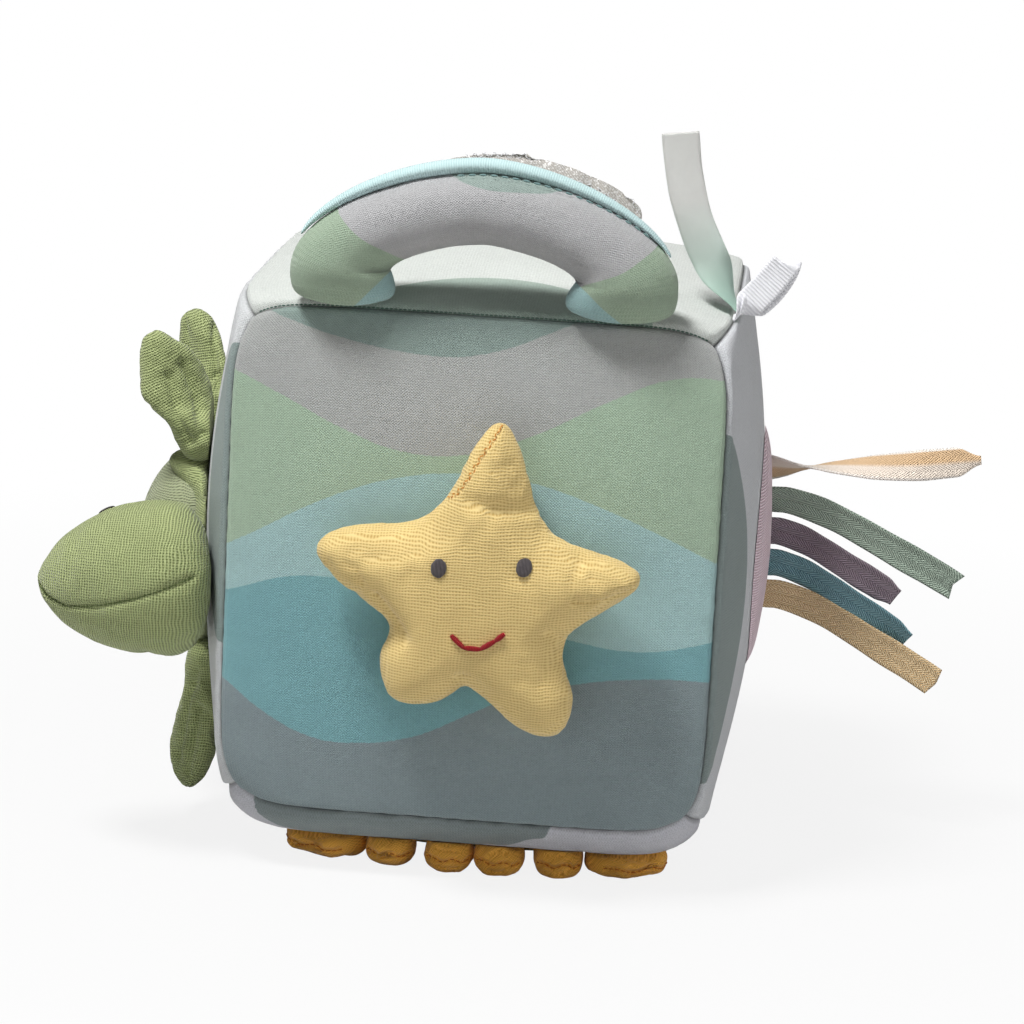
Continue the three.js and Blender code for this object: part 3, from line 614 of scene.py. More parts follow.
def groove(piece, path_mm, depth_mm, reach_mm):
    """Draws the cloth in along a seam."""
    points = points_of(piece)
    dip = np.exp(-((near_path(points, path_mm) / reach_mm) ** 2))
    move_points(piece, points - normals_of(piece) * (dip * depth_mm)[:, None])


def dress(piece, body, slot, *nodes, bends=None):
    """The piece rides on its body; with `bends` given, it rides on no body and its place is baked
    into its points.
    `slot` is not used. The piece stands for its CAD nodes, which it hides."""
    if bends is None:
        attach(piece, body)
    else:
        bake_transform(piece)
    if nodes:
        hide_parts(*nodes)
    return piece


print("mesh helpers are ready")

# %% [markdown]
# ## Blowing up cloth
# Stuffed cloth gets its shape from the filling that presses on it from inside. Blender's
# cloth solver does the same with its pressure setting. The piece starts a little too small
# and is blown up over twenty frames without gravity. No point may move further than a cap,
# so the piece keeps clear of its neighbours.


# %% The pressure recipe
def remesh(piece, voxel_mm):
    """Gives the piece even faces of about one size."""
    modifier = piece.modifiers.new("remesh", "REMESH")
    modifier.mode = "VOXEL"
    modifier.voxel_size = voxel_mm * MM
    modifier.use_smooth_shade = True
    apply_modifiers(piece)


def apply_modifiers(piece):
    """Turns what the modifiers show into the piece's own mesh."""
    graph = bpy.context.evaluated_depsgraph_get()
    mesh = bpy.data.meshes.new_from_object(piece.evaluated_get(graph), depsgraph=graph)
    old = piece.data
    materials = list(old.materials)
    piece.modifiers.clear()
    piece.data = mesh
    mesh.name = piece.name
    mesh.materials.clear()
    for material in materials:
        mesh.materials.append(material)
    mesh.polygons.foreach_set("use_smooth", [True] * len(mesh.polygons))
    bpy.data.meshes.remove(old)


FRAMES = 20


def blow_up(piece, pressure, cap_mm, slack, pinned):
    """Presses the cloth outwards from inside, then caps how far each point went. `slack` is
    the share by which the cloth may grow, and `pinned` tells which points stay."""
    before = points_of(piece)
    group = piece.vertex_groups.new(name="pinned")
    for index in np.flatnonzero(pinned(before)):
        group.add([int(index)], 1.0, "REPLACE")
    modifier = piece.modifiers.new("cloth", "CLOTH")
    cloth = modifier.settings
    cloth.quality = 5
    cloth.mass = 0.15
    cloth.tension_stiffness = cloth.compression_stiffness = 12
    cloth.shear_stiffness = 4
    cloth.bending_stiffness = 0.3
    cloth.use_pressure = True
    cloth.uniform_pressure_force = pressure
    cloth.shrink_min = -slack
    cloth.effector_weights.gravity = 0
    cloth.vertex_group_mass = "pinned"
    modifier.collision_settings.use_self_collision = False
    modifier.collision_settings.use_collision = False
    modifier.point_cache.frame_end = FRAMES
    for number in range(1, FRAMES + 1):
        scene.frame_set(number)
    apply_modifiers(piece)
    scene.frame_set(1)
    piece.vertex_groups.clear()
    step = points_of(piece) - before
    far = np.linalg.norm(step, axis=1, keepdims=True)
    move_points(piece, before + step * np.minimum(1, cap_mm / np.maximum(far, 1e-6)))
    print(f"{piece.name}: moved {far.mean():.1f} mm on average, at most {far.max():.1f} mm")


def soften(piece, rounds):
    """Rounds off small creases."""
    modifier = piece.modifiers.new("soften", "SMOOTH")
    modifier.factor, modifier.iterations = 0.5, rounds
    apply_modifiers(piece)


def subdivide(piece, levels=1):
    """Splits every face into four smaller, rounder ones."""
    modifier = piece.modifiers.new("subdivision", "SUBSURF")
    modifier.levels = modifier.render_levels = levels
    apply_modifiers(piece)


print("the pressure recipe is ready")

# %% [markdown]
# ## Stitches
# A row of stitches repeats one short thread along a path, which is what Geometry Nodes do
# best. The tree lays points along a curve at the stitch pitch, puts a small thread body on each
# and turns it along the curve. Its sizes are named inputs, so one tree sews every seam here.


# %% A tree that sews a row of stitches
def stitch_tree():
    """Mesh path in, thread bodies out."""
    tree = bpy.data.node_groups.new("row of stitches", "GeometryNodeTree")
    face = tree.interface
    face.new_socket("Path", in_out="INPUT", socket_type="NodeSocketGeometry")
    for name in ("Pitch", "Stitch Length", "Thread Radius"):
        face.new_socket(name, in_out="INPUT", socket_type="NodeSocketFloat")
    face.new_socket("Thread", in_out="INPUT", socket_type="NodeSocketMaterial")
    face.new_socket("Stitches", in_out="OUTPUT", socket_type="NodeSocketGeometry")
    add = tree.nodes.new
    given, made = add("NodeGroupInput"), add("NodeGroupOutput")
    curve, points = add("GeometryNodeMeshToCurve"), add("GeometryNodeCurveToPoints")
    points.mode = "LENGTH"
    body, size = add("GeometryNodeMeshUVSphere"), add("ShaderNodeCombineXYZ")
    body.inputs["Segments"].default_value, body.inputs["Rings"].default_value = 8, 6
    half = add("ShaderNodeMath")
    half.operation = "MULTIPLY"
    half.inputs[1].default_value = 0.5
    placed, real = add("GeometryNodeInstanceOnPoints"), add("GeometryNodeRealizeInstances")
    soft, coat = add("GeometryNodeSetShadeSmooth"), add("GeometryNodeSetMaterial")
    for out, into in (
        (given.outputs["Path"], curve.inputs["Mesh"]),
        (curve.outputs[0], points.inputs["Curve"]),
        (given.outputs["Pitch"], points.inputs["Length"]),
        (given.outputs["Thread Radius"], size.inputs["X"]),
        (given.outputs["Thread Radius"], size.inputs["Y"]),
        (given.outputs["Stitch Length"], half.inputs[0]),
        (half.outputs[0], size.inputs["Z"]),
        (points.outputs["Points"], placed.inputs["Points"]),
        (points.outputs["Rotation"], placed.inputs["Rotation"]),
        (body.outputs["Mesh"], placed.inputs["Instance"]),
        (size.outputs[0], placed.inputs["Scale"]),
        (placed.outputs[0], real.inputs[0]),
        (real.outputs[0], soft.inputs["Geometry"]),
        (soft.outputs[0], coat.inputs["Geometry"]),
        (given.outputs["Thread"], coat.inputs["Material"]),
        (coat.outputs[0], made.inputs[0]),
    ):
        tree.links.new(out, into)
    return tree


STITCHES = stitch_tree()


def sew(name, paths_mm, thread, body, slot, pitch, length, radius):
    """Rows of stitches along paths, made a plain mesh that rides on one body."""
    points, edges = [], []
    for path in paths_mm:
        edges += [(len(points) + k, len(points) + k + 1) for k in range(len(path) - 1)]
        points += [tuple(place) for place in np.asarray(path) * MM]
    mesh = bpy.data.meshes.new(name)
    mesh.from_pydata(points, edges, [])
    piece = bpy.data.objects.new(name, mesh)
    scene.collection.objects.link(piece)
    modifier = piece.modifiers.new("stitches", "NODES")
    modifier.node_group = STITCHES
    sizes = {"Pitch": pitch * MM, "Stitch Length": length * MM, "Thread Radius": radius * MM,
             "Thread": thread}
    for item in STITCHES.interface.items_tree:
        if item.name in sizes:
            modifier[item.identifier] = sizes[item.name]
    piece.data.materials.append(thread)
    apply_modifiers(piece)
    return dress(piece, body, slot)


print("stitches have a tree with", len(STITCHES.nodes), "nodes")

# %% [markdown]
# ## The cover
# The cover's shape is one formula for all six sides: the panel's middle swells out, the seams
# bow out between the corners, and the corners stay back. Along a seam the two cloths are
# drawn in together, which makes the soft groove that shows where the panels meet. The points
# of each grid lie closer near the seams, because that is where the shape turns quickly.

# %% The cover's formula
BLOCK_CENTRE = np.array([0.0, 0.0, 102.8])
SEAM_BOW, BOW_POWER = 4.5, 9
CORNER_PULL, CORNER_POWER = 2.0, 8
SEAT = 0.3
MEAN_HALF = 75
HALF = {"x": 74.0, "y": 75.0, "z": 78.0}
AXES = {"x": np.array([1.0, 0, 0]), "y": np.array([0, 1.0, 0]), "z": np.array([0, 0, 1.0])}


def cover_side(out, across, up, crown, power=2.2):
    """One side: its three directions, its half sizes and how far its middle swells."""
    def axis(text):
        return AXES[text[1]] * (1 if text[0] == "+" else -1)

    return {
        "out": axis(out), "across": axis(across), "up": axis(up),
        "half_out": HALF[out[1]], "half_across": HALF[across[1]], "half_up": HALF[up[1]],
        "crown": crown, "power": power,
    }


SIDES = {
    "front": cover_side("-y", "+x", "+z", 8),
    "back": cover_side("+y", "-x", "+z", 8),
    "left": cover_side("-x", "-y", "+z", 14),
    "right": cover_side("+x", "+y", "+z", 11),
    "top": cover_side("+z", "+x", "+y", 12),
    "bottom": cover_side("-z", "+x", "-y", 12, 10),
}


def bow(share):
    """How far a seam bows out, at a share from -1 to 1 of its length."""
    return SEAM_BOW * (1 - abs(share) ** BOW_POWER)


def cover(side, u, v, grow):
    """Points of the cover at the shares u and v, from -1 to 1, of one side."""
    u, v = np.asarray(u, float), np.asarray(v, float)
    puff = side["crown"] * (1 - abs(u) ** side["power"]) * (1 - abs(v) ** side["power"])
    pull = CORNER_PULL * abs(u * v) ** CORNER_POWER
    reach = side["half_out"] + grow + bow(u * v) + puff - pull
    across = u * (side["half_across"] + grow + bow(v)) - np.sign(u) * pull
    up = v * (side["half_up"] + grow + bow(u)) - np.sign(v) * pull
    return (
        BLOCK_CENTRE
        + across[..., None] * side["across"]
        + up[..., None] * side["up"]
        + reach[..., None] * side["out"]
    )


def cover_height(side, across, up):
    """How far the cover reaches from the block's centre, at a place in millimetres."""
    u = across / side["half_across"]
    v = up / side["half_up"]
    for _ in range(6):
        u = across / (side["half_across"] + bow(v))
        v = up / (side["half_up"] + bow(u))
    puff = side["crown"] * (1 - abs(u) ** side["power"]) * (1 - abs(v) ** side["power"])
    return side["half_out"] + SEAT + bow(u * v) + puff


def on_side(name, across, up, out):
    """A place on one side: across and up from its middle, and out from the cloth."""
    side = SIDES[name]
    return (
        BLOCK_CENTRE
        + across * side["across"]
        + up * side["up"]
        + (cover_height(side, across, up) + out) * side["out"]
    )


def off_side(name, points, gap_mm):
    """Keeps points at least a gap away from one side of the cover."""
    side = SIDES[name]
    local = points - BLOCK_CENTRE
    across, up = local @ side["across"], local @ side["up"]
    inside = (abs(across) < side["half_across"]) & (abs(up) < side["half_up"])
    nowhere = -1e3
    floor = gap_mm + np.array([
        cover_height(side, a, b) if near else nowhere for a, b, near in zip(across, up, inside)
    ])
    return points + side["out"] * np.maximum(0, floor - local @ side["out"])[:, None]


def draw_in(side, u, v, points, depth, reach):
    """Pulls the cloth in along the seams, the same for both panels that meet there."""
    near_u = np.exp(-(((1 - abs(u)) * MEAN_HALF / reach) ** 2))
    near_v = np.exp(-(((1 - abs(v)) * MEAN_HALF / reach) ** 2))
    shift = (
        np.maximum(near_u, near_v)[..., None] * side["out"]
        + (near_u * np.sign(u))[..., None] * side["across"]
        + (near_v * np.sign(v))[..., None] * side["up"]
    )
    return points - shift * depth


def pucker(side, u, v, depth, reach):
    """How far small puckers lift the cloth; they start at a seam and fade away from it."""
    lift = np.zeros(u.shape)
    for share, other in ((u, v), (v, u)):
        edge = np.sign(share)
        at_u, at_v = (edge, v) if share is u else (u, edge)
        seam = cover(side, at_u, at_v, 0).reshape(-1, 3)
        waves = field(seam, 5.5, 4).reshape(u.shape)
        away = (1 - abs(share)) * MEAN_HALF
        fade = np.exp(-away / reach) * (1 - np.exp(-away / 1.2)) * (1 - abs(other) ** 12)
        lift += waves * fade
    return lift * depth


STEPS = 72
CROWDING = 0.93
shares = np.linspace(-1, 1, STEPS + 1)
shares = np.sin(shares * math.pi / 2 * CROWDING) / math.sin(math.pi / 2 * CROWDING)
print("grid steps near a seam:", round((shares[1] - shares[0]) * MEAN_HALF, 2), "mm")

# %% [markdown]
# ## The six panels
# Each panel is a sheet of jersey on a thin batting, so it gets an outer face, an inner face
# and closed edges. The outer face starts slack and is blown up against the formula, which is
# the furthest that the sewn cloth can go. Puckers and the sunk seam are added last, from
# values that are the same on both sides of a seam, so two panels always meet.


# %% Six panels of jersey
def panel(name):
    """One closed sheet of jersey with its batting: outer face, inner face and edges."""
    side = SIDES[name]
    count = STEPS + 1
    u, v = np.meshgrid(shares, shares)
    uv = np.stack([u * side["half_across"], v * side["half_up"]], axis=-1) * MM
    faces, corners = grid_faces(count, count, closed=False)
    front_uvs = [[tuple(uv[a, k]) for a, k in face] for face in corners]
    seams = (side["half_across"], side["half_up"])
    jersey = jersey_finish(f"printed jersey, {name}", *PANEL_PAINT[name], seams=seams)
    full = cover(side, u, v, SEAT)
    slack = full - side["out"] * ((1 - u * u) * (1 - v * v) * 1.2)[..., None]
    trial = new_piece(f"{name}_trial", slack.reshape(-1, 3), faces, front_uvs, jersey)
    border = ((abs(u) > 0.999) | (abs(v) > 0.999)).ravel()
    blow_up(trial, -4.0 if name == "bottom" else 4.0, 2.5, slack=0.006, pinned=lambda p: border)
    outer = points_of(trial).reshape(count, count, 3)
    over = np.maximum(0, (outer - full) @ side["out"])
    outer = outer - side["out"] * over[..., None]
    bpy.data.objects.remove(trial)
    outer = outer + (pucker(side, u, v, 0.5, 7.0) - 0.15)[..., None] * side["out"]
    outer = draw_in(side, u, v, outer, 1.5, 1.5)
    inner = cover(side, u, v, SEAT - 2.0)
    below = count * count
    back_faces, back_corners = grid_faces(count, count, closed=False, first=below, turned=True)
    face_uvs = front_uvs + [[tuple(uv[a, k]) for a, k in face] for face in back_corners]
    rim = [(0, c) for c in range(count)] + [(r, count - 1) for r in range(1, count)]
    rim += [(count - 1, c) for c in range(count - 2, -1, -1)]
    rim += [(r, 0) for r in range(count - 2, 0, -1)]
    for k, (r, c) in enumerate(rim):
        nr, nc = rim[(k + 1) % len(rim)]
        a, b = r * count + c, nr * count + nc
        back_faces.append([b, a, a + below, b + below])
        face_uvs.append([tuple(uv[i, j]) for i, j in ((nr, nc), (r, c), (r, c), (nr, nc))])
    points = np.concatenate([outer.reshape(-1, 3), inner.reshape(-1, 3)])
    return new_piece(f"{name}_panel_cloth", points, faces + back_faces, face_uvs, jersey)


panels = {name: panel(name) for name in SIDES}
print("panel faces:", {name: len(piece.data.polygons) for name, piece in panels.items()})

SEAM_ALLOWANCE = 0.01
for name, piece in panels.items():
    dress(piece, "block", "printed_jersey", f"{name}_panel")
    side = SIDES[name]
    cut = (2 * side["half_across"] * MM + SEAM_ALLOWANCE, 2 * side["half_up"] * MM + SEAM_ALLOWANCE)

# %% [markdown]
# ## The filling
# Nobody sees the filling, but a stuffed block has one. It is one soft body just inside the
# six panels, so the same formula makes it, and it is welded from six grids.


# %% One body of fibre filling
def fibre_finish():
    finish = Finish("white fibre filling")
    clumps = finish.noise(6, 4.0)
    fibres = finish.noise(0.9, 2.0, stretch=(1, 6, 1))
    tone = shade(colour("F2F0EA"), clumps * 0.2 + 0.86)
    return finish.finish(tone, clumps + fibres * 0.4, 1.5, roughness=1.0)


def filling():
    """Six grids just inside the panels, welded at their edges."""
    count = 25
    even = np.linspace(-1, 1, count)
    u, v = np.meshgrid(even, even)
    points, faces, face_uvs = [], [], []
    for side in SIDES.values():
        grid = cover(side, u, v, -2.0)
        first = len(points) * count * count
        more, corners = grid_faces(count, count, closed=False, first=first)
        points.append(grid.reshape(-1, 3))
        faces += more
        uv = np.stack([u * side["half_across"], v * side["half_up"]], axis=-1) * MM
        face_uvs += [[tuple(uv[a, k]) for a, k in face] for face in corners]
    piece = new_piece("block_filling", np.concatenate(points), faces, face_uvs, fibre_finish())
    point_outwards(piece)
    return piece


core = dress(filling(), "block", "filling", "filling_core")
print("filling faces:", len(core.data.polygons))

# %% [markdown]
# ## Stuffed shapes
# Most animals are stuffed shapes with one seam round their outline. A pillow swells over a
# flat outline, and a limb runs from a small root through its widest part to a round tip.
# Weave has to lie on them as cloth does, so the flat UV map is stretched by the extra length
# that a dome has over its shadow.


# %% Pillows, limbs and their UV maps
def smooth(t):
    """From 0 to 1 without a corner at either end."""
    t = np.clip(t, 0, 1)
    return t * t * (3 - 2 * t)


def ellipse(half_a, half_b, count, roundness=1.0):
    """Places on an ellipse; a roundness under 1 makes it boxier."""
    turns = np.linspace(0, math.tau, count, endpoint=False)
    c, s = np.cos(turns), np.sin(turns)
    return np.stack(
        [half_a * np.sign(c) * abs(c) ** roundness, half_b * np.sign(s) * abs(s) ** roundness],
        axis=-1,
    )


def pillow(name, outline, place, front, back, rings, material, roundness=1.0):
    """A flat outline whose face swells to `front` and its back to `back`."""
    count = len(outline)
    points, rows = [], {}
    for key, swell in (("front", front), ("back", -back)):
        rows[key] = []
        for r in range(rings + 1):
            turn = r / rings * math.pi / 2
            if key == "back" and r == rings:
                rows[key].append(rows["front"][-1])
                continue
            rise = 0 if r == rings else math.cos(turn) ** roundness
            reach = math.sin(turn)
            ring = [(0, 0)] if r == 0 else [(x * reach, y * reach) for x, y in outline]
            rows[key].append(range(len(points), len(points) + len(ring)))
            points += [place(x, y, swell * rise) for x, y in ring]
    faces = []
    for layer in rows.values():
        for inner, outer in zip(layer, layer[1:]):
            for k in range(count):
                n = (k + 1) % count
                if len(inner) == 1:
                    faces.append([inner[0], outer[k], outer[n]])
                else:
                    faces.append([inner[k], outer[k], outer[n], inner[n]])
    piece = new_piece(name, points, faces, [[(0, 0)] * len(f) for f in faces], material)
    point_outwards(piece)
    return piece


def lay_cloth(piece, right, over, out, turn_deg=0.0):
    """A UV map that follows a dome: depth adds to the flat length where the cloth turns."""
    points, normals = points_of(piece), normals_of(piece)
    depth = abs(points @ out - np.percentile(points @ out, 60))
    flat = []
    for axis in (right, over):
        lean = normals @ axis
        flat.append(points @ axis + depth * 0.6 * lean * abs(lean))
    c, s = math.cos(math.radians(turn_deg)), math.sin(math.radians(turn_deg))
    uv = np.stack([flat[0] * c - flat[1] * s, flat[0] * s + flat[1] * c], axis=-1) * MM
    set_uv(piece, uv)


ROOT_ANGLES = (88, 80, 68, 54, 38, 20)


def cos_sin(degrees):
    return math.cos(math.radians(degrees)), math.sin(math.radians(degrees))


def limb_rings(root, along, across, out, size, cap, swell, sides, boxy=1.0):
    """Rings of a stuffed limb, whose round root end is centred on `root`. It is widest at the
    share `swell` of its length, and `cap` rounds the root's corners."""
    base, base_width, width = size["root"], size["root_width"], size["width"]
    thick, length = size["thick"], size["length"]
    stations = []
    for angle in ROOT_ANGLES:
        c, s = cos_sin(angle)
        stations.append((-base * s, base_width * (1 - cap * (1 - c)), base * c))
    widest = length * swell
    for t in np.linspace(0, 1, 12):
        grown = smooth(t)
        wide = base_width + (width - base_width) * grown
        stations.append((widest * t, wide, base + (thick - base) * grown))
    for angle in np.linspace(0, 88, 20)[1:]:
        c, s = cos_sin(angle)
        stations.append((widest + (length - widest) * s, width * c, thick * c))
    circle = ellipse(1, 1, sides, boxy)
    return np.array([
        [root + along * x + across * wide * a + out * deep * b for a, b in circle]
        for x, wide, deep in stations
    ])


print("pillows and limbs are ready")

# %% [markdown]
# ## The handle
# The handle is a stuffed arch of the same jersey. Its columns of stitches run across it, so
# they fan out in the bend. It is a row of rings along an arch, and each foot ends in a dome
# of smaller rings. Its print continues the waves, from curves like those of the front.

# %% The arch
HANDLE = {"span": 45.4, "rise": 21.0, "foot": 15.6, "middle": 11.4, "depth": 11.0}
HINGE = np.array([0, -80.367, 196.767])


SQUARENESS, WAIST = 1.18, 2.4


def arch(turn):
    """The middle of the handle, at a turn from 0 at the right foot to pi at the left one."""
    c, s = math.cos(turn), abs(math.sin(turn))
    return HINGE + np.array([
        HANDLE["span"] * math.copysign(abs(c) ** SQUARENESS, c), 0, HANDLE["rise"] * s**SQUARENESS
    ])


def arch_half(turn):
    """Half of the handle's height, which is less in its middle than at its feet."""
    narrow = 1 - (1 - abs(math.sin(turn))) ** WAIST
    return HANDLE["foot"] + (HANDLE["middle"] - HANDLE["foot"]) * narrow


def arch_outward(turn):
    """The direction away from the inside of the arch."""
    if turn < 1e-6 or turn > math.pi - 1e-6:
        return np.array([math.cos(turn), 0, 0])
    nudge = math.pi * 0.006
    step = arch(min(turn + nudge, math.pi)) - arch(max(turn - nudge, 0))
    step /= np.linalg.norm(step)
    return np.array([step[2], 0, -step[0]])


print("the arch is highest at", arch(math.pi / 2).round(1))

# %% The handle's print
SAGE_ENDS = [(-100, 242.8), (-60, 226.8), (-46.7, 215.7), (-38, 208.3), (-27, 202.5),
             (-16, 194.8), (0, 180.8), (22, 188.8), (30, 196.3), (36.6, 199.4), (43, 202.3),
             (48.6, 206.5), (60, 215.8), (100, 242.8)]
BLUE_FEET = [(-100, 160), (-50, 176), (-39, 186), (-32, 193.5), (-28, 197), (-25, 197),
             (-20, 150), (0, 150), (17, 150), (21.5, 196), (24.5, 198), (30, 196.5),
             (38, 190), (46, 184), (60, 176), (100, 160)]
TOP_LENS = [(-100, 254.8), (-30, 240.8), (-14.6, 229.3), (-2, 225.1), (10.5, 224.4),
            (20.7, 224.7), (30, 226.8), (45, 238.8), (100, 254.8)]


def handle_paint(finish):
    """The handle stands higher than the front's curves reach, so its own start at 100 mm."""
    def below(points):
        return below_curve(finish.x, finish.z, points, soft_mm=0.3, lowest_mm=100)

    body = mix(1 - below(TOP_LENS), MAUVE, colour("93A29C"))
    body = mix(below(SAGE_ENDS), body, colour("9BAD97"))
    return mix(below(BLUE_FEET), body, colour("98B8B8"))


print("the handle's print:", len(SAGE_ENDS), len(BLUE_FEET), len(TOP_LENS), "knots")


# %% The handle's rings and cloth
def wait_in_bend(rings, centres):
    """On the inside of a tight bend the rings wait for each other instead of turning back."""
    for k in range(1, len(rings) // 2):
        ahead = centres[k] - centres[k - 1]
        ahead /= np.linalg.norm(ahead)
        short = 0.06 - (rings[k] - rings[k - 1]) @ ahead
        rings[k] += np.maximum(0, short)[:, None] * ahead


def droop(points):
    """The feet bulge forward over the front seam and hang down a little."""
    ahead = smooth((HINGE[1] - 1 - points[:, 1]) / 7)
    low = smooth((HINGE[2] - 3 - points[:, 2]) / 6)
    inner = smooth((HANDLE["span"] + 6 - abs(points[:, 0])) / 20)
    flare = inner * smooth((HINGE[2] + 6 - points[:, 2]) / 14)
    flare = flare * np.where(points[:, 0] > 0, -6.5, 4.5)
    points = points - AXES["z"] * (3.0 * ahead * low)[:, None] + AXES["x"] * flare[:, None]
    return off_side("front", points, 0.25)


def foot_dome(end, angles):
    """The rings that close a foot: centre, half width as a direction, and half depth."""
    dome = []
    for angle in angles:
        c, s = cos_sin(angle)
        centre = arch(end) - np.array([0, 0, HANDLE["depth"] * s])
        wide = np.array([math.cos(end), 0, 0]) * HANDLE["foot"] * (1 - 0.25 * (1 - c))
        dome.append((centre, wide, HANDLE["depth"] * c**0.8))
    return dome


def handle_piece():
    """A foot, the arch and the other foot as one tube."""
    turns = np.linspace(0, math.tau, 56, endpoint=False)
    stations = foot_dome(0, ROOT_ANGLES)
    for t in np.linspace(0, 1, 90):
        angle = math.pi * t
        stations.append((arch(angle), arch_outward(angle) * arch_half(angle), HANDLE["depth"]))
    stations += foot_dome(math.pi, ROOT_ANGLES[::-1])
    rings = np.array([
        [centre + wide * math.cos(a) + np.array([0, depth * math.sin(a), 0]) for a in turns]
        for centre, wide, depth in stations
    ])
    centres = np.array([centre for centre, _, _ in stations])
    wait_in_bend(rings, centres)
    wait_in_bend(rings[::-1], centres[::-1])
    finish = jersey_finish("printed jersey, handle", handle_paint, "u", "v")
    return tube("handle_cloth", rings, finish)


handle_cloth = handle_piece()
soften(handle_cloth, 24)
blow_up(handle_cloth, 2.0, 0.3, 0.0, lambda p: p[:, 2] < HINGE[2] - 9.5)
subdivide(handle_cloth)
crumple(handle_cloth, 14, 0.35, 11)
move_points(handle_cloth, droop(points_of(handle_cloth)))
print("handle points:", len(handle_cloth.data.vertices))

# %% [markdown]
# ## The strip along the handle
# A narrow ribbed strip is topstitched along the handle's outer edge. It follows the same arch
# a little further out, so it is a thin tube of its own. The handle's cloth is drawn in where
# the stitches pull it down.


# %% The strip's line and the handle's seat
STRIP_START, STRIP_SHARE, STRIP_THICK = 0.06, 0.88, 1.2


def strip_half(turn):
    """Half of the strip's width: it starts as a point, and is widest on the left."""
    t = (turn / math.pi - STRIP_START) / STRIP_SHARE
    return 0.25 + 2.25 * math.sin(math.pi * t) ** 0.6 * (1.1 - 0.35 * (1 - t))


strip_seam = []
for turn in np.linspace(0.09, 0.91, 200) * math.pi:
    around = -math.asin((STRIP_THICK + strip_half(turn) + 0.35) / HANDLE["depth"])
    strip_seam.append(arch(turn) + arch_outward(turn) * arch_half(turn) * math.cos(around)
                      + np.array([0, HANDLE["depth"] * math.sin(around), 0]))
groove(handle_cloth, strip_seam, 0.7, 0.9)
dress(handle_cloth, "handle", "printed_jersey", "handle",
      bends=(HINGE - AXES["z"] * 7, HINGE + AXES["z"] * 5))
seam_length = np.linalg.norm(np.diff(strip_seam, axis=0), axis=1).sum()
print("the strip's seam is", round(seam_length), "mm long")


# %% The strip and its stitches
def ribbed_finish(name, dark, light, pitch_mm, depth_mm):
    """Rib knit: rounded ribs with a shadow between them."""
    finish = Finish(name)
    rib = rib_height(finish.v, pitch_mm)
    fuzz = finish.noise(0.6)
    height = rib + fuzz * 0.25
    tone = finish.noise(11, 2.0) * 0.1 + 0.95
    return finish.finish(shade(mix(rib.clamp(), dark, light), tone), height, depth_mm)


def strip_piece():
    """A thin tube on the handle's outer edge."""
    rings = []
    turns = np.linspace(0, math.tau, 20, endpoint=False)
    for t in np.linspace(0, 1, 140):
        angle = math.pi * (STRIP_START + STRIP_SHARE * t)
        outward = arch_outward(angle)
        half = strip_half(angle)
        centre = arch(angle) + outward * (arch_half(angle) + half * 0.8)
        rings.append([
            centre + outward * half * math.cos(a)
            + np.array([0, (STRIP_THICK + half) * math.sin(a), 0]) for a in turns
        ])
    aqua = ribbed_finish("aqua rib knit", colour("B2CECF"), colour("C6DEDE"), 0.75, 0.1)
    return tube("handle_edge_strip_cloth", rings, aqua)


strip = dress(strip_piece(), "handle", "aqua_rib", "handle_edge_strip")


def plain_thread(name, tone):
    """Sewing thread: one tone with a little fibre."""
    finish = Finish(name)
    fibres = finish.noise(0.4, 2.0)
    return finish.finish(shade(colour(tone), fibres * 0.3 + 0.85), fibres, 0.08, 0.7, 0.1)


grey_thread = plain_thread("grey-blue topstitch thread", "74908F")
stitch_seam = [place + AXES["z"] * 0.3 - AXES["y"] * 0.85 for place in strip_seam[10:116]]
sew("handle_topstitch", [stitch_seam], grey_thread, "handle", "aqua_rib", 3.2, 2.3, 0.38)
print("handle and strip:", len(handle_cloth.data.polygons), len(strip.data.polygons), "faces")


# %% The thread of the front-top seam
sage_thread = plain_thread("sage seam thread", "4C665B")
along_seam, at_seam = np.linspace(-0.95, 0.95, 160), np.full(160, -0.999)
front_line = cover(SIDES["top"], along_seam, at_seam, SEAT) - AXES["z"] * 0.9
sew("front_top_seam", [front_line], sage_thread, "block", "printed_jersey", 1.4, 1.25, 0.24)
print("the front-top seam shows its thread")

# %% [markdown]
# ## The star
# The star is cut from yellow double gauze, sewn round its outline and stuffed hard in the
# middle. Its outline is a smooth closed line through four knots for each arm. It starts as a
# flat pillow, gets arms as round as tubes, and is then blown up, so it keeps its soft edges.

# %% Gauze and the star's body
STAR_MIDDLE = on_side("front", 5, -3, 7.0)
# Each arm: its angle in degrees, how far it reaches and how blunt its tip is.
ARMS = [(86, 55.5, 6.2), (166, 53, 8), (-127, 43, 11), (-58, 50, 9.5), (10.5, 51, 6.5)]
VALLEY, TIP = 30, 7


def gauze_finish(name, dark, light, pitch_mm, crinkle, depth_mm=0.5):
    """Double gauze: light threads over darker gaps."""
    finish = Finish(name)
    threads, height = gauze_height(finish, pitch_mm, crinkle)
    tone = finish.noise(13, 3.0) * 0.16 + 0.92
    return finish.finish(shade(mix(threads.clamp(), dark, light), tone), height, depth_mm)


def catmull_rom(points, samples):
    """A smooth closed line through the points."""
    points = np.asarray(points, float)
    count = len(points)
    line = []
    for k in range(samples):
        place = k / samples * count
        i, t = int(place), place % 1
        a, b, c, d = (points[(i + j) % count] for j in (-1, 0, 1, 2))
        line.append(0.5 * (
            2 * b + (c - a) * t + (2 * a - 5 * b + 4 * c - d) * t * t
            + (3 * b - 3 * c + d - a) * t**3
        ))
    return np.array(line)


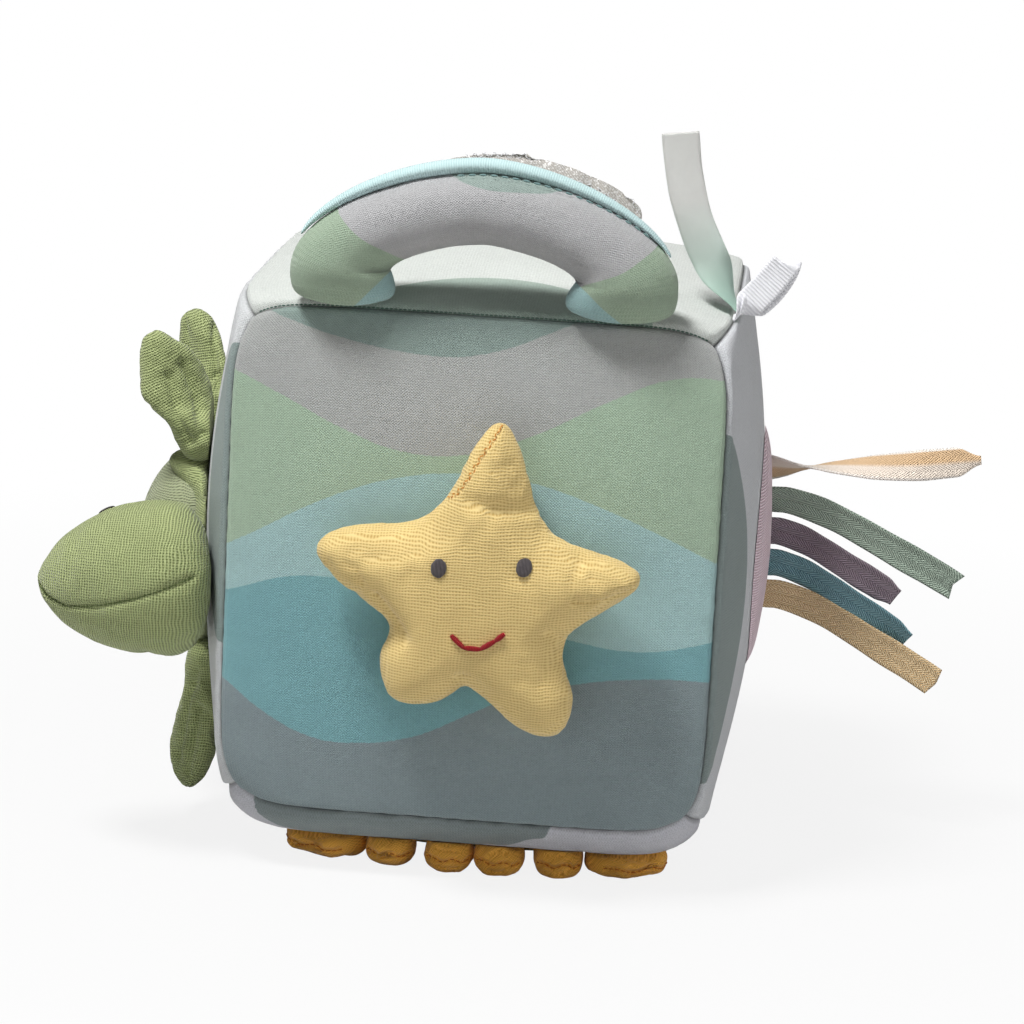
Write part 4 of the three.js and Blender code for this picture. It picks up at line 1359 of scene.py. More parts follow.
def star_outline():
    """Both sides of each tip, the tip itself, and the valley after it."""
    controls = []
    for k, (angle, reach, blunt) in enumerate(ARMS):
        gap = ((ARMS[(k + 1) % 5][0] - angle) % 360) / 2
        a = math.radians(angle)
        along = np.array([math.cos(a), math.sin(a)])
        side = np.array([-along[1], along[0]])
        valley = math.radians(angle + gap)
        neck = along * (reach - TIP)
        controls += [neck - side * blunt, along * reach, neck + side * blunt,
                     VALLEY * np.array([math.cos(valley), math.sin(valley)])]
    return catmull_rom(controls, 280)


SEAM_REACH, ARM_DEPTH, DOME_DEPTH, DOME_REACH = 12.0, 11.4, 2.2, 27


def fill_star(piece, outline):
    """Makes the arms round like tubes: the depth grows with the distance from the seam."""
    points = points_of(piece)
    local = points - STAR_MIDDLE
    seam = STAR_MIDDLE + np.array([[x, 0, y] for x, y in outline])
    flat = points.copy()
    flat[:, 1] = STAR_MIDDLE[1]
    inward = np.minimum(near_path(flat, seam) / SEAM_REACH, 1)
    dome = np.exp(-((np.hypot(local[:, 0], local[:, 2]) / DOME_REACH) ** 2))
    depth = ARM_DEPTH * np.sqrt(1 - (1 - inward) ** 2) + DOME_DEPTH * dome * inward
    ahead = local[:, 1] < -0.01
    points[ahead, 1] = STAR_MIDDLE[1] - depth[ahead]
    move_points(piece, points)


yellow_gauze = gauze_finish(
    "yellow double gauze", colour("BE9C58"), colour("E6CD8F"), 1.0, 0.3, depth_mm=0.3
)
star_shape = star_outline()
star_cloth = pillow(
    "star_cloth", star_shape, lambda x, y, z: STAR_MIDDLE + np.array([x, -z, y]),
    13, 7, 14, yellow_gauze,
)
fill_star(star_cloth, star_shape)
remesh(star_cloth, 2.4)
blow_up(star_cloth, 2.5, 1.0, 0.02, lambda p: p[:, 1] > STAR_MIDDLE[1] + 1.5)
subdivide(star_cloth, 2)
print("star outline:", len(star_shape), "places round five arms")

# %% [markdown]
# ## Folds and seams on the star
# A stuffed star is tight on its middle and folds where its arms start. A fold or a seam is
# given by a few places as they are seen from the front. Rays carry them onto the cloth, and
# the cloth is drawn in along the line that they give.


# %% Folds, seams and the finished star
def surface_of(piece):
    """A tree that finds where a ray meets the cloth."""
    return BVHTree.FromPolygons(
        [tuple(p) for p in points_of(piece)], [tuple(f.vertices) for f in piece.data.polygons]
    )


def cast_path(piece, starts, direction):
    """Where rays from the starts meet the piece; a ray that misses it gives nothing."""
    tree = surface_of(piece)
    hits = [tree.ray_cast(Vector(start), Vector(direction))[0] for start in starts]
    return [np.array(hit) for hit in hits if hit is not None]


def seen_path(piece, places):
    """A close path on the side of the piece that faces the front, from x and z places."""
    starts = []
    for (a, b), (c, d) in zip(places, places[1:]):
        for t in np.linspace(0, 1, 1 + int(math.hypot(c - a, d - b) / 0.5), endpoint=False):
            starts.append((a + (c - a) * t, -160, b + (d - b) * t))
    return cast_path(piece, starts, (0, 1, 0)) or [np.zeros(3)]


def star_path(*places):
    """The same on the star, from places across and up from its middle."""
    return seen_path(star_cloth, [(STAR_MIDDLE[0] + a, STAR_MIDDLE[2] + b) for a, b in places])


# Each fold: its places, how deep it is and how far it reaches.
STAR_FOLDS = [
    ([(-4, 31.4), (0, 30.6), (6, 29.8), (14, 29.6)], 1.6, 3.0),
    ([(-38, 8), (-36, 3), (-38, -2)], 0.8, 1.6),
    ([(-31, -1), (-25, -8), (-22, -14)], 1.2, 2.4),
    ([(31, 15), (29, 9), (30, 3)], 0.6, 1.9),
    ([(36, 13), (33.5, 8), (34.5, 3.5)], 0.4, 1.6),
    ([(26, 19), (30, 22)], 1.2, 2.5),
    ([(22, -8), (28, -12)], 0.7, 1.6),
    ([(-4, -24), (-3, -30)], 1.0, 2.2),
]
for places, depth, reach in STAR_FOLDS:
    groove(star_cloth, star_path(*places), depth, reach)
arm_seam = [(5, 55.5), (1.6, 49.7), (-1.7, 44.3), (-4.3, 39), (-7.7, 33.7), (-11, 31)]
right_seam = [(29, 1.5), (36, 2.6), (43, 4.4), (49.5, 7.4)]
arm_seam_path = star_path(*arm_seam)
for path in (arm_seam_path, star_path(*right_seam)):
    groove(star_cloth, path, 0.5, 0.8)
crumple(star_cloth, 8, 0.22, 17)
RIGHT, UP, FRONT = AXES["x"], AXES["z"], -AXES["y"]
lay_cloth(star_cloth, RIGHT, UP, FRONT)
dress(star_cloth, "star", "yellow_gauze", "star_body")
print("star faces:", len(star_cloth.data.polygons))


# %% The star's seams
def zigzag(path, swing_mm, pitch_mm):
    """The path with small steps to both sides, as a hand-sewn seam makes them."""
    path = np.asarray(path)
    run = np.concatenate([[0], np.linalg.norm(np.diff(path, axis=0), axis=1).cumsum()])
    ahead = np.gradient(path, axis=0)
    ahead /= np.linalg.norm(ahead, axis=1, keepdims=True)
    side = np.cross(ahead, FRONT)
    return path + side * (swing_mm * np.sin(run / pitch_mm * math.tau))[:, None] + FRONT * 0.1


amber_thread = plain_thread("amber seam thread", "CF8A3A")
sew("star_seam_stitches", [zigzag(arm_seam_path, 0.5, 3.0)], amber_thread,
    "star", "yellow_gauze", 1.5, 1.3, 0.22)
print("the star's arm seam is sewn")

# %% [markdown]
# ## The star's face
# The eyes are small pads of satin stitches and the mouth is a line of four red backstitches.
# Rays find the cloth under them, so they lie on it wherever the stuffing has pushed it.


# %% Thread and a place on the face
def thread_finish(name, dark, light, along, pitch_mm):
    """Thick thread: fine ribs in a dark and a light tone."""
    finish = Finish(name)
    rib = rib_height(getattr(finish, along), pitch_mm)
    tone = finish.noise(1.5) * 0.2 + 0.9
    cloth = shade(mix(rib.clamp(), dark, light), tone)
    return finish.finish(cloth, rib, 0.25, roughness=0.6, sheen=0.1)


dark_thread = thread_finish("dark eye thread", colour("3A3537"), colour("7C7577"), "u", 0.42)
red_thread = thread_finish("red mouth thread", colour("7A0A12"), colour("B81E28"), "v", 0.5)
star_surface = surface_of(star_cloth)
FACE_SHIFT, FACE_TURN = 1, math.radians(3.5)


def on_face(across, up, lift=0.0):
    """A place on the star's face, which is turned a little on the star."""
    place = (FACE_SHIFT + across, -60, up + across * math.tan(FACE_TURN))
    start = STAR_MIDDLE + np.array(place)
    hit, normal, _, _ = star_surface.ray_cast(Vector(start), Vector((0, 1, 0)))
    return np.array(hit) + np.array(normal) * lift


print("the face's middle lies at", on_face(0, 0).round(1))


# %% Eyes and mouth
def star_eye(name, across):
    """A small pad that is square to the cloth under it."""
    middle = on_face(across, 11.7, 0.35)
    right = on_face(across + 2, 11.7) - on_face(across - 2, 11.7)
    above = on_face(across, 13.7) - on_face(across, 9.7)
    right, above = right / np.linalg.norm(right), above / np.linalg.norm(above)
    out = np.cross(right, above)
    piece = pillow(
        name, ellipse(2.5, 3.0, 40), lambda x, y, z: middle + right * x + above * y + out * z,
        0.6, 0.4, 6, dark_thread,
    )
    crumple(piece, 1.1, 0.25, 7)
    lay_cloth(piece, RIGHT, UP, FRONT)
    return piece


for side_name, across in (("left", -12.9), ("right", 12.9)):
    dress(star_eye(f"star_eye_{side_name}_thread", across), "star", "dark_thread",
          f"star_eye_{side_name}")


def star_mouth():
    """Four backstitches in thick red thread, each a little fuller in its middle."""
    corners = [(-8.2, -9.2), (-4.1, -13.2), (1.0, -13.6), (5.5, -10.9), (8.2, -8.6)]
    turns = np.linspace(0, math.tau, 12, endpoint=False)
    rings = []
    for t in np.linspace(0, 4, 81):
        k = min(int(t), 3)
        part = t - k
        (a, b), (c, d) = corners[k], corners[k + 1]
        centre = on_face(a + (c - a) * part, b + (d - b) * part, 0.35)
        over = np.array([-(d - b), 0, c - a]) / math.hypot(c - a, d - b)
        beat = 0.5 + 0.36 * math.sin(math.pi * part) ** 0.5
        rings.append([centre + over * beat * math.cos(a) + np.array([0, beat * math.sin(a), 0])
                      for a in turns])
    return tube("star_mouth_thread", rings, red_thread)


dress(star_mouth(), "star", "red_thread", "star_mouth")
print("the star has a face")

# %% [markdown]
# ## The turtle
# A green gauze turtle lies flat on the left side: a thin pad with a grey-green dome of a shell
# on it, a head that sticks out past the front corner, and four slack flippers. The pad and the
# shell are pillows on the block's own curve, so they sit on the cloth without a gap.

# %% Turtle pad and shell
green_gauze = gauze_finish("green double gauze", colour("5B6737"), colour("AFB984"), 0.85, 1.0)
shell_gauze = gauze_finish("grey-green shell cloth", colour("6F7659"), colour("A9B08D"), 0.8, 0.6)
LEFT = SIDES["left"]
PAD_ACROSS, PAD_UP, PAD_HALF_ACROSS, PAD_HALF_UP = 9, -12, 39, 36


def on_turtle(x, y, lift):
    """A place on the left side, from the middle of the turtle's pad."""
    return on_side("left", PAD_ACROSS + x, PAD_UP + y, lift)


turtle_pad = pillow(
    "turtle_body_cloth", ellipse(PAD_HALF_ACROSS, PAD_HALF_UP, 120),
    lambda x, y, z: on_turtle(x, y, 0.2 + z), 6, 0, 12, green_gauze,
)
remesh(turtle_pad, 2.0)


def shoulder(piece, turn_deg, height_mm, spread_mm):
    """A soft bulge of the pad where a flipper grows out of it."""
    turn = math.radians(turn_deg)
    across, up = (PAD_HALF_ACROSS - 3.5) * math.cos(turn), (PAD_HALF_UP - 3) * math.sin(turn)
    place = on_turtle(across, up, 0)
    points = points_of(piece)
    flat = points - place
    flat = flat - np.outer(flat @ LEFT["out"], LEFT["out"])
    rise = np.exp(-((np.linalg.norm(flat, axis=1) / spread_mm) ** 2)) * height_mm
    depth = (points - BLOCK_CENTRE) @ LEFT["out"]
    floor = np.array([cover_height(LEFT, p @ LEFT["across"], p @ LEFT["up"])
                      for p in points - BLOCK_CENTRE])
    share = np.clip((depth - floor) / 2.5, 0, 1)
    move_points(piece, points + np.outer(rise * share, LEFT["out"]))


subdivide(turtle_pad)
shoulder(turtle_pad, 66, 11, 9)
shoulder(turtle_pad, -58, 5, 6)
crumple(turtle_pad, 6, 0.4, 23)
lay_cloth(turtle_pad, LEFT["across"], LEFT["up"], LEFT["out"])
dress(turtle_pad, "block", "green_gauze", "turtle_body")


def shell_underside(share):
    """How high the pad stands at a share of its radius."""
    return 6.3 * math.sqrt(max(0, 1 - share**2))


def shell_place(x, y, z):
    """A place of the shell, which rests on the pad."""
    share = math.hypot(x / (PAD_HALF_ACROSS + 0.3), y / (PAD_HALF_UP + 0.3))
    return on_turtle(x, y, 0.2 + max(z, shell_underside(share) + 0.05))


shell = pillow("turtle_shell_cloth", ellipse(31.5, 33, 120), shell_place, 24, 0, 14, shell_gauze)
lay_cloth(shell, LEFT["across"], LEFT["up"], LEFT["out"])
dress(shell, "block", "shell_cloth", "turtle_shell")
print("pad and shell faces:", len(turtle_pad.data.polygons), len(shell.data.polygons))

# %% [markdown]
# ## The turtle's head
# The head is stuffed hard: blunt where it is sewn on and pointed at the nose, with one seam
# that runs round it like a mouth. It is a tube of rings with a different curve at either end.

# %% Turtle head
HEAD = on_side("left", 67.5, PAD_UP, 22.5)
HEAD_DEEP, HEAD_HIGH = 22, 24.5
NECK_LENGTH, NECK_BLUNT, NOSE_LENGTH, NOSE_BLUNT = 15, 0.74, 40, 1.25


def head_rings():
    """Rings from the neck to the nose; both ends start at the widest ring."""
    turns = np.linspace(0, math.tau, 72, endpoint=False)
    rings = []
    stations = [(a, True) for a in (88, 84, 77, 69, 60, 50, 40, 30, 20, 10)]
    stations += [(a, False) for a in np.linspace(0, 88, 34)]
    for angle, is_neck in stations:
        c, s = cos_sin(angle)
        if is_neck:
            swell = c**NECK_BLUNT
            ahead, sag, tilt = NECK_LENGTH * s**NECK_BLUNT, 0, 5 * s * swell
        else:
            swell = c**NOSE_BLUNT
            ahead, sag, tilt = -NOSE_LENGTH * s, -3 * s**2, 0
        centre = HEAD + np.array([7 + ahead, 0, sag])
        deep, high = HEAD_DEEP * swell, HEAD_HIGH * swell
        rings.append([
            centre + np.array([-tilt * math.cos(a), deep * math.cos(a), high * math.sin(a)])
            for a in turns
        ])
    return np.array(rings)


head = tube("turtle_head_cloth", head_rings(), green_gauze)
move_points(head, off_side("left", points_of(head), 0.8))
blow_up(head, 3.0, 0.9, 0.03, lambda p: p[:, 0] > HEAD[0] + 14)
subdivide(head)


def head_path(*places):
    """The same on the head, from places ahead and up from its middle."""
    return seen_path(head, [(HEAD[0] + a, HEAD[2] + b) for a, b in places])


head_seam = head_path((-32.4, -4.2), (-29, -6.5), (-22, -8), (-12, -6), (-2, -3), (8, 0.8),
                      (14, 3.4), (20, 6))
groove(head, head_seam, 1.1, 1.0)
crumple(head, 9, 0.4, 21)
dress(head, "turtle_head", "green_gauze", "turtle_head")
moss_thread = plain_thread("moss seam thread", "5A6A3C")
seam_lifted = [p + np.array([0, 0.75, 0]) for p in head_seam]
sew("turtle_head_seam", [seam_lifted], moss_thread, "turtle_head", "green_gauze", 1.7, 1.5, 0.2)
print("head faces:", len(head.data.polygons))

# %% The turtle's eyes
head_surface = surface_of(head)


def head_eye(name, upward):
    """A small pad on the upper or the lower cheek."""
    c, s = cos_sin(20)
    spoke = np.array([0, HEAD_DEEP * s, upward * HEAD_HIGH * c])
    aim = HEAD + np.array([-13, 0, 0])
    hit, normal, _, _ = head_surface.ray_cast(Vector(aim + spoke * 2), Vector(-spoke))
    out = np.array(normal)
    middle = np.array(hit) + out * 0.3
    ahead = AXES["x"] - out * out[0]
    ahead /= np.linalg.norm(ahead)
    over = np.cross(out, ahead)
    piece = pillow(
        name, ellipse(2.8, 2.2, 40), lambda x, y, z: middle + ahead * x + over * y + out * z,
        0.6, 0.4, 6, dark_thread,
    )
    lay_cloth(piece, ahead, over, out)
    return piece


for side_name, upward in (("upper", 1), ("lower", -1)):
    dress(head_eye(f"turtle_eye_{side_name}_thread", upward), "turtle_head", "dark_thread",
          f"turtle_eye_{side_name}")
print("the turtle's upper and lower eye")

# %% [markdown]
# ## The turtle's flippers
# A flipper holds little filling, so it hangs slack: it is flat, turned along its length and
# folded. Each is a tube whose rings turn as they go, with broad dents and a few drawn-in
# folds. Its root stays in the pad and its blade bends away from it.

# %% Turtle flippers
# `at` is the root's angle on the pad, `lean` how far the flipper stands off the block, `fore`
# its slant towards the head, `twist` and `wring` its turn at the root and at the tip, `width`
# a share of the full width, `free` the least angle to the cloth and `start` the root's depth.
FLIPPER_WORDS = ("at", "length", "lean", "fore", "twist", "wring", "width", "free", "start")
FLIPPERS = {
    "front_upper": (70, 38, 27, 6, 40, 85, 0.8, 10, 9.5),
    "front_lower": (-70, 43, 4, 14, 26, 44, 0.9, 2, 7.0),
    "rear_upper": (127, 40, 17, -8, -25, -60, 0.85, 8, 6.0),
    "rear_lower": (-127, 34, 6, -8, -12, -40, 0.85, 4, 5.4),
}
ROOT_GAP, ROOT_LIFT, ROOT_DOME = 3.8, 3.5, 7.5


def flipper_frame(size):
    """The root of a flipper and its three directions."""
    turn, lean, fore = (math.radians(size[word]) for word in ("at", "lean", "fore"))
    root = on_turtle((PAD_HALF_ACROSS + ROOT_GAP) * math.cos(turn),
                     (PAD_HALF_UP + ROOT_GAP) * math.sin(turn), ROOT_LIFT)
    flat = LEFT["up"] * math.copysign(math.cos(fore), turn) + LEFT["across"] * math.sin(fore)
    along = flat * math.cos(lean) + LEFT["out"] * math.sin(lean)
    axis = np.cross(flat, LEFT["out"])
    axis /= np.linalg.norm(axis)
    return root, along, axis, np.cross(axis, along)


def flipper_rings(root, along, axis, out, size):
    """A slack flipper, wrung along its length so that it shows its flat face and its edge."""
    length, twist, wring, start = (size[word] for word in ("length", "twist", "wring", "start"))
    turns = np.linspace(0, math.tau, 56, endpoint=False)
    root_end, tip_end = np.radians([85, 65, 45, 22]), np.radians(np.linspace(6, 86, 14))
    stations = [(-ROOT_DOME * math.sin(a) / length, math.cos(a)) for a in root_end]
    stations += [(t, 1.0) for t in np.linspace(0, 0.7, 30)]
    stations += [(0.7 + 0.3 * math.sin(a), math.cos(a)) for a in tip_end]
    rings = []
    for t, tip in stations:
        turn = math.radians(twist * smooth(t / 0.45) + (wring - twist) * smooth((t - 0.2) / 0.8))
        taper = 1 - 0.42 * smooth((t - 0.5) / 0.5)
        wide = (12 + 1.5 * smooth(t / 0.4)) * size["width"] * taper * tip**0.8
        thick = (start + (5.8 - start) * smooth(t / 0.45)) * tip**0.8
        a_axis = axis * math.cos(turn) + out * math.sin(turn)
        b_axis = out * math.cos(turn) - axis * math.sin(turn)
        centre = root + along * length * t
        rings.append([centre + a_axis * wide * math.cos(a) + b_axis * thick * math.sin(a)
                      * (0.82 + 0.18 * abs(math.cos(a))) for a in turns])
    return np.array(rings)


FLIPPER_FOLDS = {
    "front_upper": [[(-101, 153), (-99, 149), (-95, 139), (-93, 131)],
                    [(-105, 149), (-103, 143), (-101, 136), (-97, 128)]],
    "front_lower": [[(-98, 22), (-96, 32), (-95, 42), (-92, 52)],
                    [(-94, 18), (-92, 30), (-90, 40)]],
    "rear_upper": [[(-98, 158), (-97, 148), (-95, 138)]],
}
for index, (name, values) in enumerate(FLIPPERS.items()):
    size = dict(zip(FLIPPER_WORDS, values))
    root, along, axis, out = flipper_frame(size)
    rings = flipper_rings(root, along, axis, out, size)
    flipper = tube(f"turtle_flipper_{name}_cloth", rings, green_gauze)
    blow_up(flipper, 1.2, 2.2, 0.03, lambda p: (p - root) @ along < 3)
    subdivide(flipper)
    crumple(flipper, 12, 1.3, 31 + index, lambda p: smooth((p - root) @ along / 12), octaves=1)
    for fold in FLIPPER_FOLDS.get(name, []):
        groove(flipper, seen_path(flipper, fold), 1.7, 1.8)
    crumple(flipper, 3.5, 0.3, 51 + index)
    reach = np.maximum(0, (points_of(flipper) - root) @ along)
    room = 0.8 + reach * math.tan(math.radians(size["free"]))
    move_points(flipper, off_side("left", points_of(flipper), room))
    dress(flipper, f"turtle_flipper_{name}", "green_gauze", f"turtle_flipper_{name}",
          bends=(root - along * 4, root + along * 7))
print("the turtle is dressed")

# %% [markdown]
# ## The jellyfish and its tapes
# The bell is a pad of pink rib knit on the right side, half an ellipse in outline. Five woven
# tapes are sewn in behind it and stick out past the block. A tape is flat, so it is built
# directly: a path gives each step a place and the direction of its width.

# %% The bell
RIGHT_SIDE = SIDES["right"]
BELL_LONG, BELL_HALF_HIGH, BELL_ACROSS, BELL_UP = 47, 41, 12, -5
BELL_MIDDLE = BELL_LONG * 0.33


def bell_outline():
    """Half an ellipse and its straight rear edge, set around the pad's thickest place."""
    arc = [(-BELL_LONG * math.cos(a), BELL_HALF_HIGH * math.sin(a))
           for a in np.linspace(-math.pi / 2, math.pi / 2, 120)]
    rear = [(0, BELL_HALF_HIGH * s) for s in np.linspace(1, -1, 40)[1:-1]]
    return np.array(arc + rear) + np.array([BELL_MIDDLE, 0])


def bell_place(x, y, z):
    return on_side("right", BELL_ACROSS - BELL_MIDDLE + x, BELL_UP + y, 0.2 + z)


bell_rib = ribbed_finish("pink rib knit", colour("CDB0BA"), colour("F3E0E8"), 0.9, 0.25)
bell = pillow("jellyfish_bell_cloth", bell_outline(), bell_place, 4.5, 0, 12, bell_rib)
blow_up(bell, 2.0, 0.6, 0.03, lambda p: (p - BLOCK_CENTRE) @ RIGHT_SIDE["out"] < 82)
subdivide(bell)
tucked = points_of(bell) - RIGHT_SIDE["out"] * 1.2
move_points(bell, off_side("right", tucked, 0.12))
lay_cloth(bell, RIGHT_SIDE["across"], RIGHT_SIDE["up"], RIGHT_SIDE["out"])
dress(bell, "block", "pink_rib", "jellyfish_bell")
print("bell faces:", len(bell.data.polygons))


# %% Flat ribbons
def ribbon(name, path, half_width, thickness, material, curl=0.0, notch=0.0, taper=0.0):
    """A flat tape with round edges; the path holds places and width directions. `curl` bows
    it across, and over its last part `notch` cuts its end and `taper` narrows it."""
    places = np.array([place for place, _ in path])
    ahead = np.gradient(places, axis=0)
    ahead /= np.linalg.norm(ahead, axis=1, keepdims=True)
    lane = np.linspace(-1, 1, 14)
    rings, halves = [], []
    for k, ((place, wide), tangent) in enumerate(zip(path, ahead)):
        flat = wide - tangent * (wide @ tangent)
        flat /= np.linalg.norm(flat)
        thick = np.cross(tangent, flat)
        end = smooth((k / (len(path) - 1) - 0.88) / 0.12)
        wave = 0.012 * math.sin(k * 0.31) + 0.012 * math.sin(k * 0.13)
        half = half_width * (1 - taper * end + wave)
        halves.append(half)
        ring = []
        for face, order in ((1, lane), (-1, lane[::-1])):
            for w in order:
                edge = 1 if abs(w) < 0.99 else 0.5
                lift = face * thickness / 2 * edge + curl * (w * w - 0.4)
                back = notch * end * (1 - abs(w))
                ring.append(place + flat * w * half + thick * lift - tangent * back)
        rings.append(ring)
    piece = tube(name, rings, material)
    run = np.concatenate([[0], np.linalg.norm(np.diff(places, axis=0), axis=1).cumsum()])
    across = np.concatenate([lane, lane[::-1]])
    uv_mm = [(a * half, r) for r, half in zip(run, halves) for a in across]
    lay_tape(piece, np.reshape(rings, (-1, 3)), uv_mm)
    return piece


def lay_tape(piece, places, uv_mm):
    """U across the tape and V along it: each point takes the UV place of its ring point."""
    tree = tree_of(places)
    set_uv(piece, np.array([uv_mm[tree.find(Vector(p))[1]] for p in points_of(piece)]) * MM)


print("a ribbon has 28 places in each ring")


# %% The weave and the tapes
def tape_finish(name, dark, light, column_mm, edge):
    """Herringbone weave; `edge` is a paler colour along both borders and one half."""
    finish = Finish(name)
    weave = herringbone_height(finish, column_mm)
    tone = finish.noise(9, 2.0) * 0.14 + 0.93
    cloth = mix(weave.clamp(), dark, light)
    if edge:
        pale_half = ((finish.u / MM + 0.6) / 1.5).clamp() * 0.75
        border = ((abs(finish.u) / MM - 4.1) / 0.4).clamp()
        cloth = mix(pale_half.highest(border), cloth, edge)
    return finish.finish(shade(cloth, tone), weave, 0.3)


# `fall` is how far the tape's end hangs down, and `turn` its twist at TURN_PLACES.
TAPES = {
    "cream": {"length": 71, "fall": -7, "turn": [20, 70, 96, 128, 160, 176], "half": 5.1,
              "taper": 0.7, "notch": 0, "tones": ("DFB98E", "ECCDA6"), "column": 4.7},
    "green": {"length": 66, "fall": 26, "turn": [24, 20, 12, 8, 4, 0], "half": 5.0,
              "taper": 0.05, "notch": 3.4, "tones": ("76877A", "C2D2C0"), "column": 4.7},
    "mauve": {"length": 46, "fall": 20, "turn": [10, 8, 6, 6, 8, 12], "half": 4.7,
              "taper": 0.3, "notch": 0, "tones": ("6F616B", "AC9CA6"), "column": 4.7},
    "teal": {"length": 51, "fall": 23.5, "turn": [6, 14, 10, 10, 16, 24], "half": 4.7,
             "taper": 0.3, "notch": 0, "tones": ("517B86", "98C0C8"), "column": 4.7},
    "yellow": {"length": 61, "fall": 26.5, "turn": [12, 8, 8, 8, 4, 0], "half": 5.0,
               "taper": 0.0, "notch": -1.2, "tones": ("D4AC78", "FDE9C0"), "column": 3.2},
}
TURN_PLACES = [0, 0.17, 0.3, 0.5, 0.75, 1]
TAPE_HALF, TAPE_ACROSS, FIRST_TAPE, TAPE_SPACING, HELD = 4.7, 13.5, 25.4, 10.85, 0.1


def tape_path(root, tape):
    """Straight while the seam holds it, then falling, swaying and turning."""
    path = []
    for t in np.linspace(0, 1, 90):
        drop = tape["fall"] * (max(t - HELD, 0) / (1 - HELD)) ** 1.3
        twist = math.radians(np.interp(t, TURN_PLACES, tape["turn"]))
        sway = TAPE_HALF * 0.5 * math.sin(math.tau * t) * math.sin(math.pi * t)
        path.append((root + np.array([tape["length"] * t, sway, -drop]),
                     np.array([0, -math.sin(twist), math.cos(twist)])))
    return path


for k, (name, tape) in enumerate(TAPES.items()):
    up = BELL_UP + FIRST_TAPE - k * TAPE_SPACING
    heights = [cover_height(RIGHT_SIDE, TAPE_ACROSS, up + w * TAPE_HALF) for w in (-1, 0, 1)]
    tape_root = on_side("right", TAPE_ACROSS, up, max(heights) - heights[1])
    path = tape_path(tape_root, tape)
    edge = colour("FDF4EA") if name == "cream" else None
    dark, light = map(colour, tape["tones"])
    cloth = tape_finish(f"{name} herringbone tape", dark, light, tape["column"], edge)
    piece = ribbon(f"jellyfish_tape_{name}_cloth", path, tape["half"], 0.9, cloth,
                   curl=0.5, notch=tape["notch"], taper=tape["taper"])
    dress(piece, f"jellyfish_tape_{name}", f"{name}_tape", f"jellyfish_tape_{name}",
          bends=(tape_root, tape_root + AXES["x"] * 9))
print("the jellyfish has five tapes")

# %% [markdown]
# ## The crab
# The crab lies under the block and peeps out in front. The block presses it flat, so every
# point of it is held between the floor and the underside of the cover. Its claws and legs are
# six stuffed lobes round the front of its body, each with a seam along its middle.

# %% Crab body
BOTTOM = SIDES["bottom"]


def under_block(points):
    """Keeps points over the floor and under the cover."""
    points = points.copy()
    across, up = points @ BOTTOM["across"], points @ BOTTOM["up"]
    inside = (abs(across) < 76) & (abs(up) < 76)
    reach = cover_height(BOTTOM, np.clip(across, -75, 75), np.clip(up, -75, 75))
    ceiling = BLOCK_CENTRE[2] - reach - 0.35
    points[:, 2] = np.where(inside, np.minimum(points[:, 2], ceiling), points[:, 2])
    points[:, 2] = np.maximum(points[:, 2], 0.02)
    return points


def crab_finish():
    """Ochre gauze with a rib knit's stripes in it."""
    finish = Finish("ochre rib gauze")
    rib = rib_height(finish.u, 1.1)
    threads, relief = gauze_height(finish, 0.8, 0.5, wander_mm=0.3)
    dark, light = colour("C88828"), colour("FBBC56")
    cloth = mix((rib * 0.3 + threads * 0.7).clamp(), dark, light)
    tone = finish.noise(10, 3.0) * 0.2 + 0.9
    return finish.finish(shade(cloth, tone), rib * 0.3 + relief * 0.6, 0.35)


ochre = crab_finish()
CRAB_X, CRAB_Y, CRAB_HALF_WIDE, CRAB_HALF_DEEP, CRAB_BOXY = 4.5, -10, 50, 36, 0.75
crab_body = pillow(
    "crab_body_cloth", ellipse(CRAB_HALF_WIDE, CRAB_HALF_DEEP, 120, CRAB_BOXY),
    lambda x, y, z: np.array([CRAB_X + x, CRAB_Y + y, 5.5 + z]), 6, 6, 12, ochre, 0.4,
)
move_points(crab_body, under_block(points_of(crab_body)))
lay_cloth(crab_body, AXES["x"], AXES["y"], AXES["z"])
dress(crab_body, "block", "ochre_gauze", "crab_body")
print("crab body faces:", len(crab_body.data.polygons))

# %% Claws and legs
# Each lobe: its place as a share of the body's width, how far it spreads, and if it is a claw.
LOBE_REACH, LOBE_ROOT, LOBE_THICK = 39, 2.8, 5.9
LOBES = {
    "claw_left": (-1, 30, True), "leg_outer_left": (-0.66, 5, False),
    "leg_inner_left": (-0.21, 0, False), "leg_inner_right": (0.21, 0, False),
    "leg_outer_right": (0.66, 5, False), "claw_right": (1, 30, True),
}
rust_thread = plain_thread("rust seam thread", "B8621C")


def lobe_seam(lobe, root, along, length, across, wide):
    """The lobe's seam: a wavy line round its front, a little under its middle."""
    starts = []
    for share in np.linspace(-0.86, 0.86, 90):
        up = -0.4 + 0.55 * math.sin(share * 7)
        starts.append(root + across * wide * share + along * (length + 20) + AXES["z"] * up)
    return cast_path(lobe, starts, -along)


